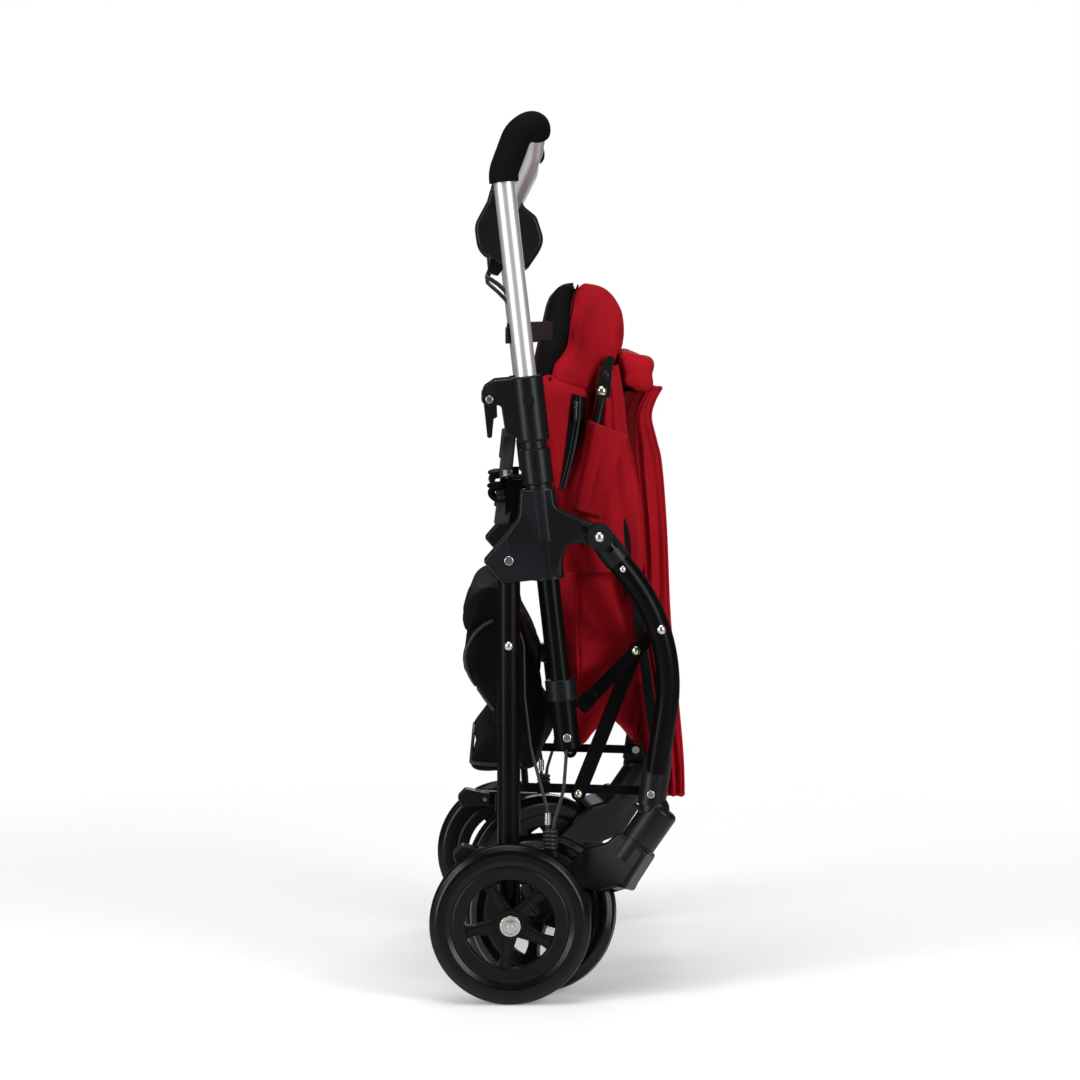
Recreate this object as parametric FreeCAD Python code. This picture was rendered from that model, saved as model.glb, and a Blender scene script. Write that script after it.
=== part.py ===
import FreeCAD, Part
import math
import os

# Folding four-wheel stroller, standing folded. Millimetres, +X to the front, +Y to the user's left, +Z up.
# The origin is on the floor, under the middle of the folded stroller.

V = FreeCAD.Vector
os.makedirs("parts", exist_ok=True)

# ---- driving dimensions -------------------------------------------------------------------------
LEAN = math.radians(6.45)          # backward lean of the push-bar tubes
TUBE_X = -17.3                     # where a push-bar tube crosses the height TUBE_Z
TUBE_Z = 497.5
FRAME_Y = 216.0                    # half the distance between the two side frames
BAR_R = 11.5                       # aluminium push bar
UPRIGHT_R = 11.0                   # black tube below the hub
SLIDER_R = 14.0                    # lower tube, which slides on the upright
WALL = 1.5
FIT = 0.05                         # running clearance on a radius
HUB_HALF = 17.0                    # half thickness of the hub moulding
SLEEVE_NECK_R = 14.2               # the sleeve's narrow ends
REAR_PIVOT = (-56.5, 479.7)        # rear-leg hinge, X and Z
REAR_LEG_R = 12.5
REAR_OPEN = 49.2                   # degrees the rear legs swing back
FRONT_PIVOT = (41.4, 504.8)        # front-leg hinge
FRONT_LEG_R = 13.0
FRONT_TRACK = 188.0                # half the distance between the casters' swivels
LEG_TILT = 5.33                    # degrees that a front leg leans in towards its caster
LEG_CORNER = (127.6, 394.3)        # where the leg's two straight lines meet
LEG_END = (101.8, 222.0)
LEG_BEND = 199.0
LEG_STOP = -22.0                   # the tube ends this far short of LEG_END, inside the socket
SEAT_PIVOT = (108.9, 403.7)        # seat side rail on the front leg
LINK_PIVOT = (82.9, 377.8)         # drop link on the seat side rail
LINK_END = (20.2, 219.4)           # drop link on the basket rail
BASKET_PIVOT = (99.5, 222.0)       # basket rail on the caster socket
WHEEL_R = 87.5
RIM_R = 64.0
RIM_INNER_R = 49.0
WHEEL_HUB_R = 15.8
FIRST_SPOKE = -98.0                # degrees from straight ahead
REAR_WHEEL = (-55.3, 87.5)
REAR_WHEEL_Y = 245.0
REAR_WHEEL_W = 26.0
FRONT_WHEEL_W = 24.0
AXLE_R = 4.0
SWIVEL_TILT = 34.8                 # degrees between the swivel axis and the vertical, folded
SWIVEL_POINT = (86.4, 167.8)       # middle of the seam between socket and fork
SWIVEL_R = 20.0
KINGPIN_R = 6.0
TRAIL = 46.6
TREAD_ROUND = 5.0                  # radius between a tyre's tread and its shoulder
TREAD_EDGE = 6.0                   # width of that shoulder
TOE_IN = 25.0                      # folded, the front wheels turn in past the rear legs
SEAT_HALF = 156.0
BOW_Y = 162.0
CANOPY_PIVOT = (50.0, 678.5)
BOW_END = (112.0, 228.0)
BACK_PIVOT = (5.0, 546.0)
LATCH_PIVOT = (-77.2, 653.0)

SIDES = (("right", -1), ("left", 1))


# ---- helpers ------------------------------------------------------------------------------------
def tube_x(z):
    """X of the push-bar line at a height."""
    return TUBE_X + (TUBE_Z - z) * math.tan(LEAN)


def on_tube(side, z):
    return V(tube_x(z), side * FRAME_Y, z)


def cylinder(start, end, radius):
    """Solid round bar between two points."""
    along = end - start
    return Part.makeCylinder(radius, along.Length, start, along)


def pin(point, y0, y1, radius):
    """Round bar along Y through the point (x, z)."""
    return cylinder(V(point[0], min(y0, y1), point[1]), V(point[0], max(y0, y1), point[1]), radius)


def box(x0, x1, y0, y1, z0, z1):
    return Part.makeBox(x1 - x0, abs(y1 - y0), z1 - z0, V(x0, min(y0, y1), z0))


def bent_wire(points, radii, closed=False):
    """Straight runs joined by tangent arcs; radii has one value for each corner."""
    count = len(points)
    corners = range(count) if closed else range(1, count - 1)
    cuts = {}
    for i in corners:
        radius = radii[i] if closed else radii[i - 1]
        here = points[i]
        back = (points[i - 1] - here).normalize()
        ahead = (points[(i + 1) % count] - here).normalize()
        half = math.acos(max(-1.0, min(1.0, back.dot(ahead)))) / 2
        if radius <= 0:
            continue
        reach = radius / math.tan(half)
        middle = here + (back + ahead).normalize() * (radius / math.sin(half) - radius)
        cuts[i] = (here + back * reach, middle, here + ahead * reach)
    edges = []
    last = cuts[0][2] if closed and 0 in cuts else points[0]
    order = list(range(1, count)) + ([0] if closed else [])
    for i in order:
        stop = cuts[i][0] if i in cuts else points[i]
        if (stop - last).Length > 1e-4:
            edges.append(Part.LineSegment(last, stop).toShape())
        last = stop
        if i in cuts:
            edges.append(Part.Arc(*cuts[i]).toShape())
            last = cuts[i][2]
    return Part.Wire(edges)


def pipe(points, radii, radius, inner=0.0):
    """Round bar or tube that follows a bent path."""
    wire = bent_wire(points, radii)
    heading = points[1] - points[0]

    def sweep(r):
        ring = Part.Wire([Part.makeCircle(r, points[0], heading)])
        return wire.makePipeShell([ring], True, False)

    solid = sweep(radius)
    return solid.cut(sweep(inner)) if inner else solid


def plate(outline, y0, y1, edge=0.0):
    """Flat moulding: an outline of (x, z, corner radius) in the XZ plane, drawn out along Y."""
    low, high = min(y0, y1), max(y0, y1)
    points = [V(p[0], low, p[1]) for p in outline]
    wire = bent_wire(points, [p[2] for p in outline], closed=True)
    solid = Part.Face(wire).extrude(V(0, high - low, 0))
    if edge:
        rims = [e for e in solid.Edges if abs(e.BoundBox.YMax - e.BoundBox.YMin) < 1e-6]
        solid = solid.makeFillet(edge, rims)
    return solid


def fuse(*shapes):
    solid = shapes[0]
    for other in shapes[1:]:
        solid = solid.fuse(other)
    return solid.removeSplitter()


def turned(profile, centre_y, centre):
    """Ring or wheel part: an outline of (radius, y, corner radius), turned about an axis along Y."""
    points = [V(centre[0] + p[0], centre_y + p[1], centre[1]) for p in profile]
    wire = bent_wire(points, [p[2] for p in profile], closed=True)
    return Part.Face(wire).revolve(V(centre[0], 0, centre[1]), V(0, 1, 0), 360)


def write(node, *solids):
    shape = solids[0] if len(solids) == 1 else Part.makeCompound(list(solids))
    shape.exportStep("parts/" + node + ".step")


def both(make):
    return [make(side) for _, side in SIDES]


def dome(point, y, outward, radius, shank, length):
    """Dome-headed rivet on the face at y, with its shank going inward."""
    head = Part.makeSphere(radius * 1.25, V(point[0], y - outward * radius * 0.75, point[1]))
    keep = box(point[0] - radius, point[0] + radius, y, y + outward * radius, point[1] - radius,
               point[1] + radius)
    head = head.common(keep)
    return fuse(head, pin(point, y - outward * length, y + outward * 0.2, shank))


def hexagon(point, y, radius, outward, length):
    """Hexagonal prism along Y, for a nut or a key socket."""
    corners = [V(point[0] + radius * math.cos(math.radians(a)), y,
                 point[1] + radius * math.sin(math.radians(a)))
               for a in range(0, 361, 60)]
    return Part.Face(Part.makePolygon(corners)).extrude(V(0, outward * length, 0))


def round_rims(solid, radius, least):
    """Round the two circular rims of a solid turned about an axis along Y."""
    rims = [e for e in solid.Edges if e.BoundBox.YLength < 1e-6 and e.Length > least]
    return solid.makeFillet(radius, rims)


def screw(point, y, outward, radius, shank, length):
    """Pan-head screw with a hexagon socket, on the face at y."""
    head = round_rims(pin(point, y, y + outward * 3.0, radius), 1.0, 10)
    head = head.cut(hexagon(point, y + outward * 3.2, 2.2, -outward, 1.9))
    return fuse(head, pin(point, y - outward * length, y + outward * 0.2, shank))


# ---- hub mouldings ------------------------------------------------------------------------------
HUB_OUTLINE = (
    (-44.5, 556.0, 3), (-8.5, 557.5, 3), (-6.3, 538.0, 10), (22.0, 524.0, 20), (37.0, 519.5, 4),
    (36.0, 493.5, 4), (24.0, 497.6, 10), (8.0, 501.0, 14), (1.3, 480.0, 10), (1.3, 461.5, 3),
    (-63.0, 454.6, 4), (-84.5, 479.0, 4), (-60.0, 507.0, 14), (-46.0, 527.0, 16),
)


def fan(side, half, reach):
    """Room that the rear leg's end sweeps through inside the hub."""
    x, z = REAR_PIVOT
    a = math.radians(REAR_OPEN)
    r = REAR_LEG_R + 0.8
    outline = (
        (x + r, z, 0), (x + r, z - reach, 0), (x - 0.5 * reach, z - 1.3 * reach, 0),
        (x - math.sin(a) * reach - math.cos(a) * r, z - math.cos(a) * reach + math.sin(a) * r, 0),
        (x - math.cos(a) * r, z + math.sin(a) * r, 0),
    )
    y = side * FRAME_Y
    return plate(outline, y - half, y + half).fuse(pin(REAR_PIVOT, y - half, y + half, r))


def hub(side):
    y = side * FRAME_Y
    body = plate(HUB_OUTLINE, y - HUB_HALF, y + HUB_HALF, 4.0)
    neck = cylinder(on_tube(side, 500), on_tube(side, 557), 18.0)
    skirt = cylinder(on_tube(side, 459), on_tube(side, 500), 17.4)
    body = body.fuse(neck).fuse(skirt)
    knuckle_room = pin(FRONT_PIVOT, y - 30, y + 30, 15.4)
    tongue_gap = pin(FRONT_PIVOT, y - 6.4, y + 6.4, 15.4)
    body = body.cut(knuckle_room.cut(tongue_gap))
    tongue = pin(FRONT_PIVOT, y - 6.0, y + 6.0, 12.0)
    reach = box(FRONT_PIVOT[0] - 20, FRONT_PIVOT[0], y - 6.0, y + 6.0, FRONT_PIVOT[1] - 9,
                FRONT_PIVOT[1] + 9)
    body = body.cut(pin(FRONT_PIVOT, y - 7, y + 7, 15.4)).fuse(tongue.fuse(reach))
    body = body.cut(pin(FRONT_PIVOT, y - 8, y + 8, 3.0 + FIT))
    body = body.cut(fan(side, REAR_LEG_R + 0.6, 60.0))
    body = body.cut(pin(REAR_PIVOT, y - 30, y + 30, 3.0))
    body = body.cut(cylinder(on_tube(side, 501.5), on_tube(side, 570), BAR_R + FIT))
    body = body.cut(cylinder(on_tube(side, 440), on_tube(side, 501.5), UPRIGHT_R))
    recess = plate(((22.0, 518.0, 1), (33.0, 514.5, 1), (24.0, 508.5, 1)), y + side * 13, y + side * 20)
    return body.cut(recess).removeSplitter()


# ---- side frame tubes ---------------------------------------------------------------------------
def upright(side):
    tube = cylinder(on_tube(side, 300), on_tube(side, 500), UPRIGHT_R)
    return tube.cut(cylinder(on_tube(side, 298), on_tube(side, 502), UPRIGHT_R - WALL))


def slider_tube(side):
    tube = cylinder(on_tube(side, 274.7), on_tube(side, 346), SLIDER_R)
    return tube.cut(cylinder(on_tube(side, 270), on_tube(side, 350),
                             UPRIGHT_R + FIT)).cut(slider_screw(side))


def slider_collar(side):
    ring = cylinder(on_tube(side, 327), on_tube(side, 350), 17.2)
    ring = ring.makeFillet(1.5, [e for e in ring.Edges if e.Length > 50])
    ring = ring.cut(cylinder(on_tube(side, 320), on_tube(side, 346), SLIDER_R))
    return ring.cut(cylinder(on_tube(side, 340), on_tube(side, 355), UPRIGHT_R + FIT))


def slider_screw(side):
    y = side * (FRAME_Y + SLIDER_R - 0.4)
    return screw((tube_x(287.5), 287.5), y, side, 4.6, 2.0, 2.0)


def sleeve(side):
    ring = cylinder(on_tube(side, 561.5), on_tube(side, 600), 17.0)
    ring = ring.makeFillet(2.0, [e for e in ring.Edges if e.Length > 50])
    ring = ring.fuse(cylinder(on_tube(side, 550), on_tube(side, 607.3), SLEEVE_NECK_R))
    y = side * FRAME_Y
    hub_room = plate(((-60.0, 530.0, 0), (-60.0, 555.5, 0), (20.0, 558.8, 0), (20.0, 530.0, 0)),
                     y - 20, y + 20)
    ring = ring.cut(hub_room).cut(cylinder(on_tube(side, 530), on_tube(side, 557.1), 19.0))
    return ring.cut(cylinder(on_tube(side, 540), on_tube(side, 610), BAR_R + FIT)).removeSplitter()


def latch_housing(side):
    y = side * FRAME_Y
    body = cylinder(on_tube(side, 607.5), on_tube(side, 678), 17.8)
    body = body.makeFillet(3.0, [e for e in body.Edges if e.Length > 50])
    rib = plate(((-60.0, 616.0, 3), (-42.0, 609.0, 3), (-42.0, 676.0, 3), (-72.0, 673.5, 6),
                 (-86.0, 664.0, 8), (-86.0, 650.0, 6), (-76.0, 644.0, 5), (-65.0, 648.0, 4)),
                y - 10, y + 10, 2.0)
    slot = box(-92.0, -63.0, y - 5.0, y + 5.0, 600.0, 668.0)
    boss = pin((tube_x(652.0) - 0.3, 652.0), y + side * 10, y + side * 19.5, 6.4)
    body = body.fuse(rib.cut(slot)).fuse(boss)
    body = body.cut(cylinder(on_tube(side, 600), on_tube(side, 690), BAR_R + FIT))
    return body.cut(pin(LATCH_PIVOT, y - 12, y + 12, 2.6)).removeSplitter()


def latch_lever(side):
    y = side * FRAME_Y
    lever = plate(((-84.5, 658.0, 4), (-70.0, 658.0, 4), (-68.5, 634.0, 2), (-72.5, 632.0, 1),
                   (-74.5, 611.5, 2), (-79.5, 611.5, 2)), y - 4.5, y + 4.5, 1.0)
    return lever.cut(pin(LATCH_PIVOT, y - 8, y + 8, 2.5 + FIT))


def frame_screws(side):
    """Latch pivot and rear-leg pivot of one side."""
    y = side * FRAME_Y
    latch = screw(LATCH_PIVOT, y + side * 10, side, 4.2, 2.5, 20)
    rear = screw(REAR_PIVOT, y + side * HUB_HALF, side, 5.0, 3.0, 2 * HUB_HALF)
    return [latch, rear]


def cross_brace():
    bar = cylinder(V(-58, -FRAME_Y + 16.9, 562), V(-58, FRAME_Y - 16.9, 562), 8.0)
    ends = [box(-60, -42, side * FRAME_Y - side * 24, side * FRAME_Y - side * 17.2, 520, 566) for _,
            side in SIDES]
    return fuse(bar.cut(cylinder(V(-58, -FRAME_Y, 562), V(-58, FRAME_Y, 562), 6.5)), *ends)


# ---- push bar -----------------------------------------------------------------------------------
GRIP_START = 886.0


def bar_points(side):
    """From the lower end of one tube up, forward over the grip, and in and down to the middle."""
    y = side * FRAME_Y
    points = [on_tube(side, 505.0), on_tube(side, 896.0)]
    points += [V(-47.0, y, 937.0), V(-25.0, side * (FRAME_Y - 6), 955.0)]
    points += [V(-30.0, side * (FRAME_Y - 52), 921.0), V(-56.0, side * 78, 867.0)]
    return points


BAR_RADII = [30.0, 22.0, 16.0, 60.0]


def push_bar():
    right = bar_points(-1)
    left = bar_points(1)
    points = right + left[::-1]
    radii = BAR_RADII + [60.0, 60.0] + BAR_RADII[::-1]
    return pipe(points, radii, BAR_R, BAR_R - WALL)


def grip(side):
    points = bar_points(side)
    start = on_tube(side, GRIP_START)
    stop = points[3] + (points[4] - points[3]).normalize() * 22.0
    route = [start, points[1], points[2], points[3], stop]
    outer = pipe(route, BAR_RADII[:3], 16.0)
    wire = pipe([on_tube(side, GRIP_START - 5)] + points[1:5], BAR_RADII[:3], BAR_R)
    return outer.cut(wire)


def console_part(front):
    """Rounded housing round the middle of the bar, split along a plane parallel to the tubes."""
    outline = (
        (-94.5, 847.0, 24), (-80.0, 874.0, 12), (-76.0, 889.0, 6), (-44.0, 889.0, 6),
        (-39.0, 869.0, 12), (-24.0, 857.0, 14), (-14.5, 828.0, 22), (-37.0, 795.0, 14),
        (-66.0, 805.0, 14), (-91.0, 820.0, 24),
    )
    body = plate(outline, -62.0, 62.0, 5.0)
    bar = push_bar_space()
    split = tube_x(843.0) + 8.0
    if front:
        half = box(split + 0.3, 20, -80, 80, 780, 910)
    else:
        half = box(-120, split - 0.3, -80, 80, 780, 910)
    half.rotate(V(split, 0, 843), V(0, 1, 0), -math.degrees(LEAN))
    body = body.common(half).cut(bar)
    if not front:
        body = body.cut(box(-84, -60, -16.5, 16.5, 790, 822))
        for _, side in SIDES:
            x, y, z = CABLE_MOUTH
            body = body.cut(cylinder(V(x, side * y, 790), V(x, side * y, z), HANDLE_CABLE_R))
    return body


def push_bar_space():
    right = bar_points(-1)
    left = bar_points(1)
    return pipe(right[3:] + left[::-1][:3], BAR_RADII[3:] + [60.0, 60.0] + [BAR_RADII[3]], BAR_R)


def release_trigger():
    trigger = plate(((-81.0, 817.0, 3), (-63.0, 817.0, 3), (-60.5, 801.0, 2), (-68.0, 791.5, 3),
                     (-79.0, 795.0, 4)), -15.5, 15.5, 1.5)
    return trigger


HANDLE_CABLE_R = 2.4
CABLE_MOUTH = (-76.0, 40.0, 824.0)       # where a cable starts, inside the console


def handle_cable(side):
    """From the console, out and down to a hole in the push-bar tube."""
    x, y, z = CABLE_MOUTH
    route = [V(x, side * y, z), V(x, side * y, 800), V(-80, side * 66, 790), V(-80, side * 108, 787),
             V(-76, side * 150, 784), V(-67, side * 186, 777), V(-53, side * 212, 763)]
    cable = pipe(route, [14.0, 40.0, 60.0, 50.0, 30.0], HANDLE_CABLE_R)
    return cable.cut(cylinder(on_tube(side, 700), on_tube(side, 850), BAR_R))


# ---- rear legs, wheels and brakes ---------------------------------------------------------------
LEG_RIVET = (-56.5, 387.0)
LEG_RIVET_R = 2.0


def leg_rivet(side):
    """Dome rivet through the middle of a rear leg."""
    reach = 2 * REAR_LEG_R
    return dome(LEG_RIVET, side * (FRAME_Y + REAR_LEG_R + 0.1), side, 4.6, LEG_RIVET_R, reach)


def rear_leg(side):
    y = side * FRAME_Y
    x = REAR_PIVOT[0]
    leg = cylinder(V(x, y, 76), V(x, y, REAR_PIVOT[1] + REAR_LEG_R), REAR_LEG_R)
    crown = box(x - 20, x + 20, y - 20, y + 20, REAR_PIVOT[1], REAR_PIVOT[1] + 30)
    leg = leg.cut(crown.cut(pin(REAR_PIVOT, y - 20, y + 20, REAR_LEG_R)))
    leg = leg.cut(cylinder(V(x, y, 99), V(x, y, REAR_PIVOT[1] - 14), REAR_LEG_R - WALL))
    leg = leg.cut(pin(REAR_PIVOT, y - 20, y + 20, 3.0 + FIT))
    leg = leg.cut(pin(LEG_RIVET, y - 20, y + 20, LEG_RIVET_R))
    return leg.cut(pin(REAR_WHEEL, y - 30, y + 30, AXLE_R))


def rear_cross_tube():
    x, z = REAR_PIVOT[0], 192.0
    reach = FRAME_Y - REAR_LEG_R + 0.6
    bar = cylinder(V(x, -reach, z), V(x, reach, z), 9.0)
    bar = bar.cut(cylinder(V(x, -reach - 1, z), V(x, reach + 1, z), 7.5))
    for _, side in SIDES:
        y = side * FRAME_Y
        bar = bar.cut(cylinder(V(x, y, 100), V(x, y, 300), REAR_LEG_R))
    return bar


def rear_axle(side):
    inner = side * (FRAME_Y - REAR_LEG_R - 3)
    outer = side * (REAR_WHEEL_Y + REAR_WHEEL_W / 2 + 2)
    shaft = pin(REAR_WHEEL, inner, outer, AXLE_R)
    face = outer + side * 1.0
    washer = round_rims(pin(REAR_WHEEL, outer - side * 4.4, face, 11.3), 0.8, 30)
    dish = pin(REAR_WHEEL, face - side * 1.3, face + side, 9.0)
    washer = washer.cut(dish.cut(pin(REAR_WHEEL, face - side * 2, face + side * 2, 6.8)))
    nut = hexagon(REAR_WHEEL, face - side * 0.2, 5.6, side, 3.4)
    nut = nut.fuse(round_rims(pin(REAR_WHEEL, face, face + side * 5.2, 3.0), 0.8, 15))
    spacer = pin(REAR_WHEEL, side * (FRAME_Y + REAR_LEG_R - 2),
                 side * (REAR_WHEEL_Y - REAR_WHEEL_W / 2 + 3.6), 8.0)
    spacer = spacer.cut(rear_leg(side))
    return fuse(shaft, washer, nut, spacer)


def brake_housing(side):
    y = side * FRAME_Y
    body = plate(((-72.0, 164.0, 4), (-4.0, 164.0, 6), (-4.0, 150.0, 4), (-30.0, 126.0, 6),
                  (-72.0, 126.0, 4)),
                 y - 7.0, y + 11.0, 2.0)
    lug = plate(((-92.0, 166.0, 5), (-66.0, 166.0, 4), (-66.0, 148.0, 4), (-92.0, 148.0, 5)), y - 5.0,
                y + 5.0, 1.5)
    body = body.fuse(lug)
    body = body.cut(cylinder(V(REAR_PIVOT[0], y, 90), V(REAR_PIVOT[0], y, 260), REAR_LEG_R))
    return body.cut(pin((-84.0, 157.0), y - 9, y + 9, 2.5)).removeSplitter()


def brake_pedal(side):
    y = side * FRAME_Y
    arm = plate(((-90.0, 166.0, 4), (-76.0, 164.0, 4), (-77.0, 149.0, 3), (-96.0, 149.0, 3),
                 (-112.0, 146.0, 5), (-118.0, 160.0, 5), (-108.0, 170.0, 5)), y - 11.5, y + 11.5, 2.0)
    arm = arm.cut(box(-95.0, -60.0, y - 5.6, y + 5.6, 140.0, 175.0))
    return arm.cut(pin((-84.0, 157.0), y - 16, y + 16, 2.5 + FIT))


def brake_pin(side):
    y = side * FRAME_Y
    return pin((-84.0, 157.0), y - 12.5, y + 12.5, 2.5)


BOOT_X, BOOT_Z = -11.5, 164.3
LEG_CABLE_X = -14.5                # cable that comes down the rear leg
TUBE_CABLE_X = -8.0                # cable that comes out of the lower tube
BRAKE_CABLE_R = 1.9


def brake_boot(side):
    """Ribbed rubber bellows over the brake cable's entry."""
    y = side * (FRAME_Y + 2)
    boot = cylinder(V(BOOT_X, y, BOOT_Z), V(BOOT_X, y, BOOT_Z + 22.5), 5.6)
    for i in range(5):
        z = BOOT_Z + 0.6 + i * 4.4
        ring = Part.makeTorus(6.4, 1.9, V(BOOT_X, y, z + 1.6))
        boot = boot.fuse(ring)
    for x in (LEG_CABLE_X, TUBE_CABLE_X):
        boot = boot.cut(cylinder(V(x, y, BOOT_Z - 2), V(x, y, BOOT_Z + 40), BRAKE_CABLE_R))
    return boot.common(box(-40, 20, y - 20, y + 20, BOOT_Z, 230))


def cable_ferrule(side):
    y = side * (FRAME_Y + 2)
    ferrule = cylinder(V(LEG_CABLE_X, y, BOOT_Z + 27), V(LEG_CABLE_X, y, BOOT_Z + 40), 3.4)
    return ferrule.cut(cylinder(V(LEG_CABLE_X, y, BOOT_Z + 20), V(LEG_CABLE_X, y, BOOT_Z + 50),
                                BRAKE_CABLE_R))


def leg_cable(side):
    """From the boot up past the ferrule and along the rear leg to a hole in its front."""
    y = side * (FRAME_Y + 2)
    route = [V(LEG_CABLE_X, y, BOOT_Z + 3), V(LEG_CABLE_X, y, BOOT_Z + 44), V(-33, side * (FRAME_Y - 6),
                                                                              275),
             V(-39.5, side * (FRAME_Y - 8), 330), V(-40.5, side * (FRAME_Y - 8), 388),
             V(-52.0, side * (FRAME_Y - 3), 420)]
    cable = pipe(route, [40.0, 60.0, 80.0, 40.0], BRAKE_CABLE_R)
    x = REAR_PIVOT[0]
    leg = cylinder(V(x, side * FRAME_Y, 300), V(x, side * FRAME_Y, 460), REAR_LEG_R)
    return cable.cut(leg)


def tube_cable(side):
    """From the boot up into the open lower end of the lower tube."""
    y = side * (FRAME_Y + 2)
    route = [V(TUBE_CABLE_X, y, BOOT_Z + 3), V(TUBE_CABLE_X, y, BOOT_Z + 28),
             V(3.0, side * (FRAME_Y + 1), 228),
             V(6.0, side * FRAME_Y, 268), V(3.5, side * FRAME_Y, 306)]
    return pipe(route, [40.0, 60.0, 60.0], BRAKE_CABLE_R)


def rim(centre, centre_y, width, outward):
    """Five-spoke moulded rim with a hub."""
    w = width / 2 - 2.5
    ring = turned(((RIM_INNER_R, -w + 2, 2), (RIM_INNER_R, w - 2, 2), (RIM_R - 3, w, 1.5),
                   (RIM_R, w - 1.5, 0.8), (RIM_R, -w + 1.5, 0.8), (RIM_R - 3, -w, 1.5)), centre_y, centre)
    hub_ring = pin(centre, centre_y - outward * (width / 2 - 4), centre_y + outward * (width / 2 - 3),
                   WHEEL_HUB_R)
    parts = ring.fuse(hub_ring)
    x, z = centre
    rim_x = x + RIM_INNER_R + 2
    spoke_outline = (
        (x + 9, z - 10.0, 2), (x + 38, z - 5.2, 8), (rim_x, z - 8.0, 2),
        (rim_x, z + 8.0, 2), (x + 38, z + 5.2, 8), (x + 9, z + 10.0, 2),
    )
    ridge_outline = ((x + 12, z - 4.0, 1), (x + 46, z - 2.4, 2), (x + 46, z + 2.4, 2), (x + 12, z + 4.0, 1))
    for i in range(5):
        spoke = plate(spoke_outline, centre_y - 5.0, centre_y + 5.5)
        spoke = spoke.fuse(plate(ridge_outline, centre_y + outward * 3, centre_y + outward * 7.6))
        spoke.rotate(V(x, 0, z), V(0, 1, 0), -(FIRST_SPOKE + 72 * i))
        parts = parts.fuse(spoke)
    face = centre_y + outward * (width / 2 - 3.0)
    socket = pin(centre, face, face - outward * 2.4, 11.5)
    parts = parts.cut(socket)
    return parts.cut(pin(centre, centre_y - 40, centre_y + 40, AXLE_R + FIT)).removeSplitter()


def tyre(centre, centre_y, width):
    w = width / 2
    tread = w - TREAD_EDGE
    band = turned(((RIM_R, -w + 3.5, 1), (RIM_R + 6, -w + 0.4, 4), (WHEEL_R - 8, -w, 8),
                   (WHEEL_R, -tread, TREAD_ROUND), (WHEEL_R, tread, TREAD_ROUND),
                   (WHEEL_R - 8, w, 8), (RIM_R + 6, w - 0.4, 4), (RIM_R, w - 3.5, 1)), centre_y, centre)
    for offset in (-4.0, 4.0):
        groove = turned(((WHEEL_R - 1.6, offset - 1.1, 0), (WHEEL_R + 2, offset - 1.6, 0),
                         (WHEEL_R + 2, offset + 1.6, 0), (WHEEL_R - 1.6, offset + 1.1, 0)),
                        centre_y, centre)
        band = band.cut(groove)
    return band


# ---- front legs and casters ---------------------------------------------------------------------
def leg_tilt(shape, side):
    """Lean a front-leg piece in towards its caster, about the front-leg hinge."""
    shape.rotate(V(0, side * FRAME_Y, FRONT_PIVOT[1]), V(1, 0, 0), -side * LEG_TILT)
    return shape


def leg_y(z):
    return FRAME_Y - (FRONT_PIVOT[1] - z) * math.tan(math.radians(LEG_TILT))


def leg_route(side, start, stop):
    """Points of the leg's centre line, from a distance below the hinge to its lower end."""
    y = side * FRAME_Y
    top = V(FRONT_PIVOT[0], y, FRONT_PIVOT[1])
    corner = V(LEG_CORNER[0], y, LEG_CORNER[1])
    end = V(LEG_END[0], y, LEG_END[1])
    return [top + (corner - top).normalize() * start, corner, end + (end - corner).normalize() * stop]


COLLAR_R = 6.0                     # spacer between the leg and the seat rail
COLLAR_Y = 188.4
COLLAR_INSET = 10.5                # it starts this far in from the leg's centre line


def seat_rivet(side):
    """Dome rivet through the leg that the seat rail turns on."""
    y = side * leg_y(SEAT_PIVOT[1])
    rivet = dome(SEAT_PIVOT, y + side * (FRONT_LEG_R + 0.1), side, 4.8, 3.0, 36)
    collar = pin(SEAT_PIVOT, y - side * COLLAR_INSET, side * COLLAR_Y, COLLAR_R)
    tail = pin(SEAT_PIVOT, side * 183.6, side * 182.0, 5.0)
    return fuse(rivet, collar, tail)


TIP_RIVET = (66.7, 470.0)
TIP_RIVET_R = 1.6


def tip_rivet(side):
    """Small rivet that holds the front leg in its knuckle."""
    y = side * (leg_y(TIP_RIVET[1]) + FRONT_LEG_R + 0.3)
    return dome(TIP_RIVET, y, side, 3.4, TIP_RIVET_R, 12)


def front_leg(side):
    outer = leg_tilt(pipe(leg_route(side, 20, LEG_STOP), [LEG_BEND], FRONT_LEG_R, FRONT_LEG_R - WALL), side)
    y = side * leg_y(SEAT_PIVOT[1])
    outer = outer.cut(pin(SEAT_PIVOT, y, y + side * 30, 3.0))
    outer = outer.cut(pin(TIP_RIVET, y, y + side * 40, TIP_RIVET_R))
    return outer.cut(pin(SEAT_PIVOT, y, side * (COLLAR_Y - 20), COLLAR_R + FIT))


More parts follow.
